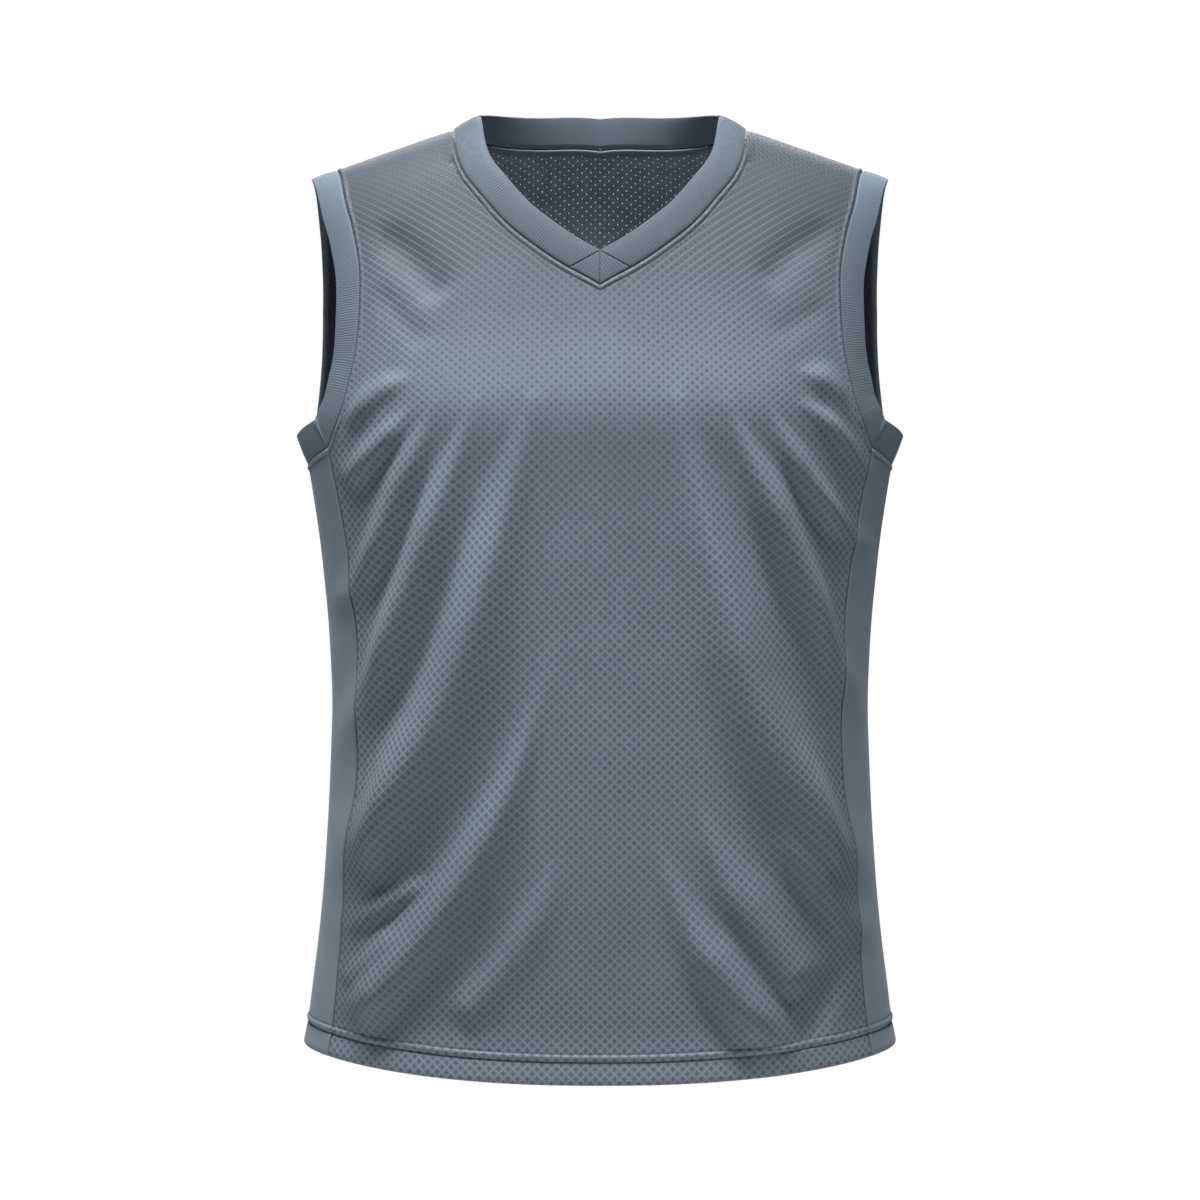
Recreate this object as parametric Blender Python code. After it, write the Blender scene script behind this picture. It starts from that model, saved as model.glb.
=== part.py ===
"""Sleeveless V-neck flag football jersey, filled out with no wearer inside.

Metres, +Z up. The front faces -Y and the wearer's left is at +X. The origin is midway between the
shoulders, where the wearer holds the jersey up.

The cloth follows four forms that meet smoothly: front and back, each drawn by a place p across and a
height h along the cloth, and two sides, drawn by a depth and a height. Seen from above, p runs
anticlockwise round the body on all four, so p and h always cross to the outward normal. Each piece is a
grid of cells between its seams. Neighbours share the seam's stations, and every piece is then trimmed by
half the seam gap all round. Bands are drawn out from the stations of the seam that they are sewn to.
"""
import math

import bpy
import numpy as np


def table(columns, *rows):
    """Rows of sizes as one array for each named column."""
    return dict(zip(columns.split(), np.array(rows, float).T))


COLLECTION = "flag_football_jersey"
SHARP_ANGLE = 40.0       # degrees between faces above which an edge is drawn sharp

# Cloth
WALL = 0.0016            # knit of the panels, with its air
HEM_WALL = 0.0026        # turned up once
BAND_WALL = 0.0016       # neckband and armhole bands
TAPE_WALL = 0.0010
SEAM_GAP = 0.0003

FINISHES = (             # name, colour and roughness
    ("pinhole_mesh", (0.165, 0.215, 0.270), 0.62),
    ("plain_knit", (0.120, 0.160, 0.205), 0.70),
    ("rib_knit", (0.105, 0.140, 0.180), 0.78))

# Torso: sections at each height are superellipses. Above the chest their depth shrinks to the ridge.
ROUNDNESS = 2.3
CHEST = -0.215           # fullest level, above which the cloth leans back to the shoulders
YOKE = 0.29              # cloth from the chest level to the shoulder seam
TORSO = table(
    "height  half_width front_depth back_depth seam_inset",
    (-0.705, 0.2250, 0.1150, 0.1080, 0.0216),
    (-0.655, 0.2196, 0.1140, 0.1065, 0.0228),
    (-0.600, 0.2125, 0.1130, 0.1045, 0.0200),
    (-0.550, 0.2080, 0.1125, 0.1020, 0.0192),
    (-0.500, 0.2052, 0.1120, 0.1000, 0.0244),
    (-0.427, 0.2025, 0.1125, 0.0985, 0.0246),
    (-0.366, 0.2056, 0.1150, 0.1000, 0.0250),
    (-0.305, 0.2120, 0.1180, 0.1040, 0.0240),
    (-0.260, 0.2190, 0.1205, 0.1080, 0.0220),
    (-0.232, 0.2240, 0.1220, 0.1100, 0.0210),
    (-0.215, 0.2250, 0.1220, 0.1100, 0.0210))
YOKE_PROFILE = table(    # shares of the rise to the ridge and of the chest's depth left there
    "rise  depth",
    (0.000, 1.00),
    (0.200, 0.92),
    (0.400, 0.83),
    (0.600, 0.72),
    (0.800, 0.56),
    (0.920, 0.38),
    (0.975, 0.20),
    (1.000, 0.00))
SMOOTHING = 0.018        # the torso's sizes are averaged this far up and down

# Hem
HEM_SIDE = -0.6854
FRONT_DIP = 0.0166       # lower at the centre than at the sides
BACK_DIP = 0.0120
HEM_WIDTH = 0.0225
HEM_ROWS = 2             # lowest rows, with the hem's wall
HEM_STEP = 0.0010        # height over which the inside steps from the hem's wall to the plain one

# Shoulders, neck and armholes; x is measured from the centre, and z of the ends is worked out
RIDGE_TOP = 0.0344
SHOULDER_SLOPE = 0.36
RIDGE_ROUNDING = 0.04
NECK_SIDE = 0.1117
SHOULDER_TIP = 0.1999
FRONT_NECK_DEPTH = -0.1219
BACK_NECK_DEPTH = -0.0007
SIDE_TOP = -0.238        # where the side seams meet the armhole
UNDERARM = -0.2495       # lowest point of the armhole
FRONT_NECKLINE = table(
    "x       z",
    (0.0276, -0.1062),
    (0.0495, -0.0908),
    (0.0695, -0.0739),
    (0.0875, -0.0525),
    (0.1004, -0.0349),
    (0.1074, -0.0147))
BACK_NECKLINE = table(
    "x       z",
    (0.0450, -0.0003),
    (0.0780, 0.0004),
    (0.0984, 0.0029),
    (0.1084, 0.0049))
FRONT_ARMHOLE = table(
    "x       z",
    (0.1907, -0.2119),
    (0.1846, -0.1892),
    (0.1798, -0.1657),
    (0.1780, -0.1393),
    (0.1776, -0.1170),
    (0.1792, -0.0982),
    (0.1847, -0.0730),
    (0.1915, -0.0499))
BACK_ARMHOLE = table(
    "x       z",
    (0.1985, -0.2100),
    (0.1947, -0.1802),
    (0.1926, -0.1504),
    (0.1921, -0.1155),
    (0.1937, -0.0804),
    (0.1964, -0.0502))

# Bands: lean is how far a band turns outward from the panel that it continues
NECKBAND_WIDTH = 0.0230
GUSSET_REACH = 0.0228    # from the V's point to where the neckband starts, measured across
NECKBAND = table(
    "depth   lean",
    (-0.115, 0),
    (-0.050, 4),
    (0.000, 10),
    (0.050, 25))
ARMBAND = table(         # round counts from the shoulder seam down the front and up the back
    "round lean width",
    (0.00, 0, 0.0205),
    (0.15, -6, 0.0225),
    (0.30, -9, 0.0235),
    (0.42, 0, 0.0245),
    (0.52, 14, 0.0255),
    (0.62, 12, 0.0250),
    (0.80, 16, 0.0240),
    (1.00, 0, 0.0205))
RIB_PITCH = 0.0021
RIB_HEIGHT = 0.00035
TAPE_OFFSET = 0.0008     # from the back neck seam
TAPE_CLEARANCE = 0.0004
TAPE_WIDTH = 0.0055

# Folds: each ridge runs down a smooth curve through four points of the panel, seen from the front or
# back. It spreads by one reach above itself and by another below, and lift is how far it stands out. It
# begins with a share of its lift, start, and is full after a share of its length, grown.
FRONT_FOLDS = table(
    "x1      z1      x2      z2      x3      z3      x4      z4      upper   lower   lift    start grown",
    (-0.156, -0.205, -0.058, -0.208, 0.058, -0.208, 0.163, -0.202, 0.0400, 0.0400, 0.0030, 0.50, 0.10),
    (-0.091, -0.208, -0.117, -0.284, -0.142, -0.355, -0.199, -0.478, 0.0125, 0.0150, 0.0160, 0.20, 0.45),
    (-0.049, -0.208, -0.080, -0.326, -0.120, -0.445, -0.204, -0.572, 0.0200, 0.0210, 0.0230, 0.16, 0.50),
    (-0.032, -0.380, -0.069, -0.496, -0.116, -0.583, -0.192, -0.677, 0.0180, 0.0150, 0.0160, 0.00, 0.50),
    (-0.022, -0.517, -0.043, -0.575, -0.072, -0.622, -0.109, -0.662, 0.0140, 0.0140, 0.0055, 0.00, 0.50),
    (0.090, -0.208, 0.119, -0.271, 0.146, -0.333, 0.201, -0.456, 0.0120, 0.0130, 0.0155, 0.20, 0.45),
    (0.055, -0.208, 0.087, -0.337, 0.124, -0.456, 0.206, -0.579, 0.0210, 0.0250, 0.0230, 0.16, 0.50),
    (0.107, -0.434, 0.132, -0.519, 0.159, -0.558, 0.206, -0.615, 0.0130, 0.0120, 0.0120, 0.00, 0.50),
    (0.062, -0.481, 0.091, -0.554, 0.119, -0.598, 0.149, -0.644, 0.0200, 0.0130, 0.0100, 0.00, 0.50),
    (0.033, -0.510, 0.065, -0.590, 0.094, -0.633, 0.145, -0.702, 0.0160, 0.0150, 0.0150, 0.00, 0.55))
BACK_FOLDS = table(
    "x1      z1      x2      z2      x3      z3      x4      z4      upper   lower   lift    start grown",
    (-0.150, -0.207, -0.050, -0.212, 0.060, -0.210, 0.150, -0.207, 0.0400, 0.0400, 0.0030, 0.50, 0.10),
    (-0.118, -0.211, -0.135, -0.275, -0.155, -0.330, -0.198, -0.395, 0.0105, 0.0115, 0.0095, 0.40, 0.35),
    (-0.082, -0.211, -0.104, -0.330, -0.135, -0.440, -0.200, -0.560, 0.0160, 0.0180, 0.0150, 0.35, 0.45),
    (-0.035, -0.330, -0.062, -0.440, -0.100, -0.550, -0.165, -0.670, 0.0180, 0.0160, 0.0115, 0.00, 0.50),
    (0.016, -0.380, 0.008, -0.480, -0.012, -0.570, -0.035, -0.660, 0.0180, 0.0180, 0.0055, 0.00, 0.50),
    (0.054, -0.211, 0.078, -0.340, 0.112, -0.460, 0.200, -0.610, 0.0200, 0.0200, 0.0160, 0.35, 0.50),
    (0.108, -0.211, 0.128, -0.280, 0.152, -0.345, 0.200, -0.440, 0.0110, 0.0120, 0.0110, 0.40, 0.40),
    (0.055, -0.470, 0.080, -0.560, 0.115, -0.622, 0.160, -0.675, 0.0160, 0.0140, 0.0100, 0.00, 0.50))
CURVE_STEPS = 5          # between two points of a fold
FADE_OUT = 0.14          # share of a fold's length over which it sinks back into the cloth
THIN = 0.4               # share of its reach that a fold without lift still has
MERGING = 3.0            # ridges that meet merge by this power mean
ARMHOLE_HOLD = 0.016     # folds are held flat this near an armhole
SIDE_HOLD = 0.030        # and sink to a share of their lift towards the side seams and the hem
SIDE_SHARE = 0.3
HEM_HOLD = 0.040
HEM_SHARE = 0.35

# Cells between the stations of each seam
GUSSET_CELLS = 2
FRONT_NECK_CELLS = 18
BACK_NECK_CELLS = 7
SHOULDER_CELLS = 6
SIDE_ROWS = 24
FRONT_ARMHOLE_ROWS = 12
BACK_ARMHOLE_ROWS = 10
SIDE_CELLS = 6
BAND_CELLS = 2
LEVEL_ROWS = 0.6         # share of the rows below the armhole that stay level
SEAM_STEPS = 400         # fine steps in which the front neckline is drawn before it is divided


def unit(vectors):
    return vectors / np.linalg.norm(vectors, axis=-1, keepdims=True)


def smoothstep(value):
    value = np.clip(value, 0, 1)
    return value * value * (3 - 2 * value)


def torso(column, height):
    """One of the torso's sizes at each height, smoothed."""
    shifts = np.linspace(-SMOOTHING, SMOOTHING, 7)
    return np.mean([np.interp(height + shift, TORSO["height"], TORSO[column]) for shift in shifts], axis=0)


def superellipse(place, half, other_half):
    """The other coordinate of a section at a place along its half."""
    share = np.clip(np.abs(place / half), 0, 1)
    return other_half * (1 - share ** ROUNDNESS) ** (1 / ROUNDNESS)


def ridge(x):
    """Height of the shoulders' ridge."""
    return RIDGE_TOP - SHOULDER_SLOPE * (np.sqrt(x * x + RIDGE_ROUNDING ** 2) - RIDGE_ROUNDING)


def smooth_path(points, steps=16):
    """Dense smooth curve through the points."""
    points = np.array(points, float)
    padded = np.vstack([2 * points[0] - points[1], points, 2 * points[-1] - points[-2]])
    t = np.linspace(0, 1, steps, endpoint=False)[:, None]
    spans = [b + 0.5 * t * (c - a + t * (2 * a - 5 * b + 4 * c - d + t * (3 * (b - c) + d - a)))
             for a, b, c, d in zip(padded, padded[1:], padded[2:], padded[3:])]
    return np.vstack(spans + [points[-1:]])


def arc_lengths(path):
    return np.append(0, np.cumsum(np.linalg.norm(np.diff(path, axis=0), axis=1)))


yoke_rise, yoke_depth = smooth_path(np.column_stack([YOKE_PROFILE["rise"], YOKE_PROFILE["depth"]])).T
yoke_size = np.array([RIDGE_TOP - CHEST, TORSO["front_depth"][-1]])
yoke_share = arc_lengths(np.column_stack([yoke_rise, yoke_depth]) * yoke_size)
yoke_share /= yoke_share[-1]


def depth_left(h):
    """Share of the torso's depth left at each cloth height, smoothed like its sizes. Past the ridge it
    goes on to the other side, and the rise falls again, so that front and back meet level."""
    depths = []
    for shift in np.linspace(-SMOOTHING, SMOOTHING, 7):
        to_ridge = 1 - (h + shift - CHEST) / YOKE
        depths.append(np.sign(to_ridge) * np.interp(1 - np.abs(to_ridge), yoke_share, yoke_depth))
    return np.mean(depths, axis=0)


def panel_form(facing):
    """Front (facing -1) or back (+1): upright to the chest level, then leaning over to the ridge."""
    depth_column = "front_depth" if facing < 0 else "back_depth"

    def form(p, h):
        x = -facing * p
        level = np.minimum(h, CHEST)
        depth = superellipse(x, torso("half_width", level), torso(depth_column, level))
        rise = np.interp(1 - np.abs(1 - (h - CHEST) / YOKE), yoke_share, yoke_rise)
        return np.stack([x, facing * depth * depth_left(h), level + (ridge(x) - CHEST) * rise], axis=-1)
    return form


def side_form(hand):
    """Side under the wearer's left arm (hand +1) or right arm (-1)."""
    def form(p, h):
        y = hand * p
        depth = np.where(y < 0, torso("front_depth", h), torso("back_depth", h))
        x = hand * superellipse(y, depth, torso("half_width", h))
        return np.stack([x, y, h + 0 * p], axis=-1)
    return form


def cloth_height(x, z):
    """Height h along a panel's cloth of a point at x and z."""
    rise = np.clip((z - CHEST) / (ridge(x) - CHEST), 0, 1)
    return np.where(z < CHEST, z, CHEST + YOKE * np.interp(rise, yoke_rise, yoke_share))


def fold_lift(x, z, folds):
    """How far the folds of one panel lift it at x and z."""
    ridges = np.zeros(np.shape(x))
    for row in zip(*folds.values()):
        curve = smooth_path(np.reshape(row[:8], (4, 2)), CURVE_STEPS)
        upper, lower, lift, start, grown = row[8:]
        away = np.full(np.shape(x), np.inf)
        place = np.zeros(np.shape(x))
        side = np.zeros(np.shape(x))
        for span, (a, b) in enumerate(zip(curve, curve[1:])):
            run = b - a
            share = np.clip(((x - a[0]) * run[0] + (z - a[1]) * run[1]) / (run @ run), 0, 1)
            distance = np.hypot(x - a[0] - share * run[0], z - a[1] - share * run[1])
            nearer = distance < away
            turn = run[0] * (z - a[1]) - run[1] * (x - a[0])
            place = np.where(nearer, (span + share) / (len(curve) - 1), place)
            side = np.where(nearer, turn * np.sign(curve[-1, 0] - curve[0, 0]), side)
            away = np.minimum(away, distance)
        swell = start + (1 - start) * smoothstep(place / grown)
        reach = np.where(side > 0, upper, lower) * (THIN + (1 - THIN) * swell)
        height = lift * swell * smoothstep((1 - place) / FADE_OUT) * np.exp(-(away / reach) ** 2)
        ridges += height ** MERGING
    return ridges ** (1 / MERGING)


def distance_to(path, points):
    """Distance of each point from a polyline."""
    near = np.full(points.shape[:-1], np.inf)
    for a, b in zip(path, path[1:]):
        run = b - a
        share = np.clip((points - a) @ run / (run @ run), 0, 1)
        near = np.minimum(near, np.linalg.norm(points - a - share[..., None] * run, axis=-1))
    return near


def normals(form, p, h, step=0.001):
    """Outward normals of a form."""
    across = form(p + step, h) - form(p - step, h)
    upward = form(p, h + step) - form(p, h - step)
    return unit(np.cross(across, upward))


def draped(form):
    """The form with its folds, which the seams and the hem hold flatter."""
    def form_with_folds(p, h):
        points = form(p, h)
        x, y, z = np.moveaxis(points, -1, 0)
        level = np.minimum(z, CHEST)
        half_width = torso("half_width", level)
        seam_x = half_width - torso("seam_inset", level)
        depth = np.where(y < 0, torso("front_depth", level), torso("back_depth", level))
        share = SIDE_SHARE * smoothstep(np.abs(y) / superellipse(seam_x, half_width, depth))
        share = share + (1 - SIDE_SHARE) * smoothstep((seam_x - np.abs(x)) / SIDE_HOLD)
        armhole = np.column_stack([FRONT_ARMHOLE["x"], FRONT_ARMHOLE["z"]])
        share = share * smoothstep(distance_to(armhole, np.stack([np.abs(x), z], axis=-1)) / ARMHOLE_HOLD)
        share = share * (HEM_SHARE + (1 - HEM_SHARE) * smoothstep((z - HEM_SIDE) / HEM_HOLD))
        front_lift = fold_lift(x, z, FRONT_FOLDS)
        back_lift = fold_lift(x, z, BACK_FOLDS)
        lift = share * np.where(y < 0, front_lift, back_lift)
        return points + lift[..., None] * normals(form, p, h)
    return form_with_folds


def stations(path, cells):
    """Points evenly spaced along a path."""
    reach = arc_lengths(path)
    places = np.linspace(0, reach[-1], cells + 1)
    return np.column_stack([np.interp(places, reach, column) for column in path.T])


def seam_stations(rows, first, last, cells):
    """Stations, as places p and cloth heights h, of a seam from first through the table's rows to last."""
    x = np.concatenate([[first[0]], rows["x"], [last[0]]])
    h = np.concatenate([[first[1]], cloth_height(rows["x"], rows["z"]), [last[1]]])
    return stations(smooth_path(np.column_stack([x, h])), cells)


def rows_up(hem, top):
    """Heights of the rows from the hem to the level of the underarm."""
    body = np.linspace(hem + HEM_WIDTH + HEM_STEP, top, SIDE_ROWS - 1)
    return np.concatenate([[hem, hem + HEM_WIDTH], body])


def side_seam_x(z):
    return torso("half_width", z) - torso("seam_inset", z)


def hem_height(x, dip):
    """Height of the hem's edge at a distance from the centre."""
    share = np.abs(x) / torso("half_width", HEM_SIDE)
    return HEM_SIDE - dip * (1 - share ** ROUNDNESS)


def half_panel(dip, neckline, shoulder_seam, armhole):
    """Places and heights of half a panel's grid, columns outward from the centre and rows upward."""
    top = np.vstack([neckline, shoulder_seam[1:]])
    hem_x = np.linspace(0, side_seam_x(HEM_SIDE), len(top))
    bottom = np.column_stack([hem_x, hem_height(hem_x, dip)])
    seam_z = rows_up(bottom[-1, 1], SIDE_TOP)
    outer = np.vstack([np.column_stack([side_seam_x(seam_z), seam_z]), armhole[1:]])
    outer[0] = bottom[-1]
    centre_z = np.concatenate([rows_up(bottom[0, 1], SIDE_TOP),
                               np.linspace(SIDE_TOP, top[0, 1], len(armhole))[1:]])
    inner = np.column_stack([np.zeros(len(centre_z)), centre_z])
    across = np.linspace(0, 1, len(top))[:, None, None]
    level_rows = LEVEL_ROWS * SIDE_ROWS
    rise = smoothstep((np.arange(len(outer)) - level_rows) / (len(outer) - 1 - level_rows))[:, None]
    top_sag = top[:, None] - (1 - across) * top[0] - across * top[-1]
    bottom_sag = bottom[:, None] - (1 - across) * bottom[0] - across * bottom[-1]
    return (1 - across) * inner + across * outer + rise * top_sag + (1 - rise) * bottom_sag


def whole_panel(half, form):
    """Outer points and normals of a panel, from the wearer's one side to the other."""
    mirrored = half[:0:-1] * (-1, 1)
    p, h = np.moveaxis(np.vstack([mirrored, half]), -1, 0)
    return draped(form)(p, h), normals(draped(form), p, h)


def side_panel(hand):
    """Outer points and normals of a side panel, between the same rows as the seams beside it."""
    share = np.linspace(-1, 1, SIDE_CELLS + 1)[:, None]
    front = rows_up(hem_height(side_seam_x(HEM_SIDE), FRONT_DIP), SIDE_TOP)
    back = rows_up(hem_height(side_seam_x(HEM_SIDE), BACK_DIP), SIDE_TOP)
    middle = rows_up(HEM_SIDE, UNDERARM)
    seam_rows = np.where(share < 0, front, back)
    z = middle + (seam_rows - middle) * share ** 2
    half_width = torso("half_width", z)
    seam_x = side_seam_x(z)
    seam_x[:, 0] = side_seam_x(HEM_SIDE)
    depth = np.where(share < 0, torso("front_depth", z), torso("back_depth", z))
    y = share * superellipse(seam_x, half_width, depth)
    p, h = (hand * y, z)
    if hand < 0:
        p, h = p[::-1], h[::-1]
    form = draped(side_form(hand))
    return form(p, h), normals(form, p, h)


def trimmed(points, facing, loop):
    """The points with a loop of them moved into the piece by half the seam gap."""
    flat = points.reshape(-1, 3).copy()
    ring = flat[loop]
    outward = facing.reshape(-1, 3)[loop]
    before = np.cross(outward, unit(ring - np.roll(ring, 1, axis=0)))
    after = np.cross(outward, unit(np.roll(ring, -1, axis=0) - ring))
    meet = np.sum(before * after, axis=1, keepdims=True)
    flat[loop] = ring + SEAM_GAP / 2 * (before + after) / (1 + meet)
    return flat.reshape(points.shape)


def grid_faces(columns, rows, ring=False):
    """Faces of a grid and the loops round its open edges, as flat indices."""
    index = np.arange(columns * rows).reshape(columns, rows)
    across = np.vstack([index, index[:1]]) if ring else index
    quads = np.stack([across[:-1, :-1], across[1:, :-1], across[1:, 1:], across[:-1, 1:]], axis=-1)
    if ring:
        loops = [index[:, 0], index[::-1, -1]]
    else:
        loops = [np.concatenate([index[:-1, 0], index[-1, :-1], index[:0:-1, -1], index[0, :0:-1]])]
    return quads.reshape(-1, 4).tolist(), loops


def edge_faces(outer_run, inner_first, inner_last, points):
    """Triangles of the wall's edge under a run of outer points. The diagonal starts at the lower end, so
    that the two edges that face each other across a seam are split alike."""
    first, last = outer_run[0], outer_run[-1]
    rising = points[first][2] < points[last][2]
    foot = inner_last if rising else inner_first
    fan = [[b, a, foot] for a, b in zip(outer_run, outer_run[1:])]
    return fan + [[first if rising else last, inner_first, inner_last]]


def cloth(name, outer, facing, wall, faces, loops, finish):
    """One piece of cloth: its trimmed outer points, a plain inside one wall further in, and the edges."""
    for loop in loops:
        outer = trimmed(outer, facing, loop)
    inner = outer - facing * np.reshape(wall, np.shape(wall) + (1,))
    points = np.vstack([outer.reshape(-1, 3), inner.reshape(-1, 3)])
    count = len(points) // 2
    inside = [[corner + count for corner in reversed(face)] for face in faces]
    edges = []
    for loop in loops:
        for a, b in zip(loop, np.roll(loop, -1)):
            edges += edge_faces([a, b], a + count, b + count, points)
    return add_mesh(name, points, faces + inside + edges, finish)


def add_mesh(name, points, faces, finish):
    mesh = bpy.data.meshes.new(name)
    mesh.from_pydata([tuple(point) for point in points], [], [tuple(map(int, face)) for face in faces])
    mesh.validate()
    mesh.shade_smooth()
    mesh.set_sharp_from_angle(angle=math.radians(SHARP_ANGLE))
    mesh.materials.append(finish)
    piece = bpy.data.objects.new(name, mesh)
    bpy.data.collections[COLLECTION].objects.link(piece)
    return piece


def split_like_folds(quads, columns, rows):
    """Triangles of a panel's cells, split along the diagonals that run outward and down like the folds."""
    triangles = []
    for cell, (a, b, c, d) in enumerate(quads):
        past_middle = cell // (rows - 1) >= (columns - 1) / 2
        triangles += [[a, b, d], [b, c, d]] if past_middle else [[a, b, c], [a, c, d]]
    return triangles


def panel(name, points, facing, finish):
    """A body panel, with the hem turned up along its lowest rows."""
    columns, rows = points.shape[:2]
    wall = np.full((columns, rows), WALL)
    wall[:, :HEM_ROWS] = HEM_WALL
    quads, loops = grid_faces(columns, rows)
    faces = split_like_folds(quads, columns, rows)
    return cloth(name, points, facing, wall, faces, loops, finish)


def band_edge(seam, facing, lean, width, ring):
    """Far edge of a band that starts at a seam's stations, and the band's own normals."""
    if ring:
        along = unit(np.roll(seam, -1, axis=0) - np.roll(seam, 1, axis=0))
    else:
        along = unit(np.gradient(seam, axis=0))
    level = unit(np.cross(facing, along))
    lean = np.radians(lean)[:, None]
    outward = np.cos(lean) * level + np.sin(lean) * facing
    return seam + np.reshape(width, (-1, 1)) * outward, unit(np.cross(along, outward))


def armband(name, seam, facing, round_share, finish):
    """A closed ring of cloth along the armhole's stations."""
    lean = np.interp(round_share, ARMBAND["round"], ARMBAND["lean"])
    width = np.interp(round_share, ARMBAND["round"], ARMBAND["width"])
    edge, edge_facing = band_edge(seam, facing, lean, width, ring=True)
    share = np.linspace(0, 1, BAND_CELLS + 1)[:, None]
    points = seam[:, None] + share * (edge - seam)[:, None]
    normal = unit(facing[:, None] + share * (edge_facing - facing)[:, None])
    faces, loops = grid_faces(len(seam), BAND_CELLS + 1, ring=True)
    return cloth(name, points, normal, np.full(points.shape[:2], BAND_WALL), faces, loops, finish)


def neckband_edge(seam, facing):
    """Far edge of the neck ribbing for all stations from the V round to the V again."""
    lean = np.interp(seam[:, 1], NECKBAND["depth"], NECKBAND["lean"])
    edge, edge_facing = band_edge(seam, facing, lean, NECKBAND_WIDTH, ring=True)
    arm_in, arm_out = unit(seam[0] - seam[-1]), unit(seam[1] - seam[0])
    half_angle = math.acos(np.clip(-arm_in @ arm_out, -1, 1)) / 2
    edge[0] = seam[0] + (edge[0] - seam[0]) / math.sin(half_angle)
    return edge, edge_facing


def neckband(name, seam, edge, facing, edge_facing, finish):
    """The ribbed strip: ribs run across it in the outer points, over a plain inside."""
    outer = np.stack([seam, edge], axis=1)
    normal = np.stack([facing, edge_facing], axis=1)
    _, loops = grid_faces(len(seam), 2)
    outer = trimmed(outer, normal, loops[0])
    inner = outer - BAND_WALL * normal
    ribbed, marks = [], []
    for left, right, left_normal, right_normal in zip(outer, outer[1:], normal, normal[1:]):
        length = np.linalg.norm(right[0] - left[0])
        steps = 2 * max(1, round(length / RIB_PITCH))
        marks.append(len(ribbed))
        for step in range(steps):
            share = step / steps
            out = left_normal + share * (right_normal - left_normal)
            ribbed.append(left + share * (right - left) + step % 2 * RIB_HEIGHT * out)
    marks.append(len(ribbed))
    ribbed.append(outer[-1])
    count = 2 * len(ribbed)
    points = np.vstack([np.concatenate(ribbed), inner.reshape(-1, 3)])
    faces = [[2 * i, 2 * i + 2, 2 * i + 3, 2 * i + 1] for i in range(len(ribbed) - 1)]
    for cell, (first, last) in enumerate(zip(marks, marks[1:])):
        a, b = count + 2 * cell, count + 2 * cell + 2
        faces.append([b, a, a + 1, b + 1])
        base_run = [2 * i for i in range(first, last + 1)]
        far_run = [2 * i + 1 for i in range(last, first - 1, -1)]
        faces += edge_faces(base_run, a, b, points)
        faces += edge_faces(far_run, b + 1, a + 1, points)
    end = 2 * (len(ribbed) - 1)
    inner_end = count + 2 * (len(outer) - 1)
    faces.append([0, 1, count + 1, count])
    faces.append([end + 1, end, inner_end, inner_end + 1])
    return add_mesh(name, points, faces, finish)


def gusset(name, base, base_facing, apex, apex_facing, finish):
    """Half of the V's insert: a fan from the neckband's inner point to the seam's first stations."""
    points = np.vstack([base, apex])
    normal = np.vstack([base_facing, apex_facing])
    tip = len(base)
    faces = [[i, i + 1, tip] for i in range(tip - 1)]
    return cloth(name, points, normal, np.full(tip + 1, BAND_WALL), faces, [np.arange(tip + 1)], finish)


def neck_tape(name, seam, below, seam_facing, below_facing, finish):
    """Strip inside the back neck, laid on the panel's cells next to the seam and moved in."""
    length = np.linalg.norm(below - seam, axis=1, keepdims=True)
    share = np.stack([(TAPE_OFFSET + TAPE_WIDTH) / length, TAPE_OFFSET / length], axis=1)
    normal = seam_facing[:, None] + share * (below_facing - seam_facing)[:, None]
    points = seam[:, None] + share * (below - seam)[:, None] - (WALL + TAPE_CLEARANCE) * normal
    faces, loops = grid_faces(len(seam), 2)
    return cloth(name, points, normal, np.full(points.shape[:2], TAPE_WALL), faces, loops, finish)


def material(name, colour, roughness):
    finish = bpy.data.materials.new(name)
    finish.use_nodes = True
    shader = finish.node_tree.nodes["Principled BSDF"]
    shader.inputs["Base Color"].default_value = (*colour, 1)
    shader.inputs["Roughness"].default_value = roughness
    shader.inputs["Metallic"].default_value = 0
    finish.diffuse_color = (*colour, 1)
    return finish


def clear_scene():
    for old in list(bpy.data.objects):
        bpy.data.objects.remove(old, do_unlink=True)
    collection = bpy.data.collections.new(COLLECTION)
    bpy.context.scene.collection.children.link(collection)


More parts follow.
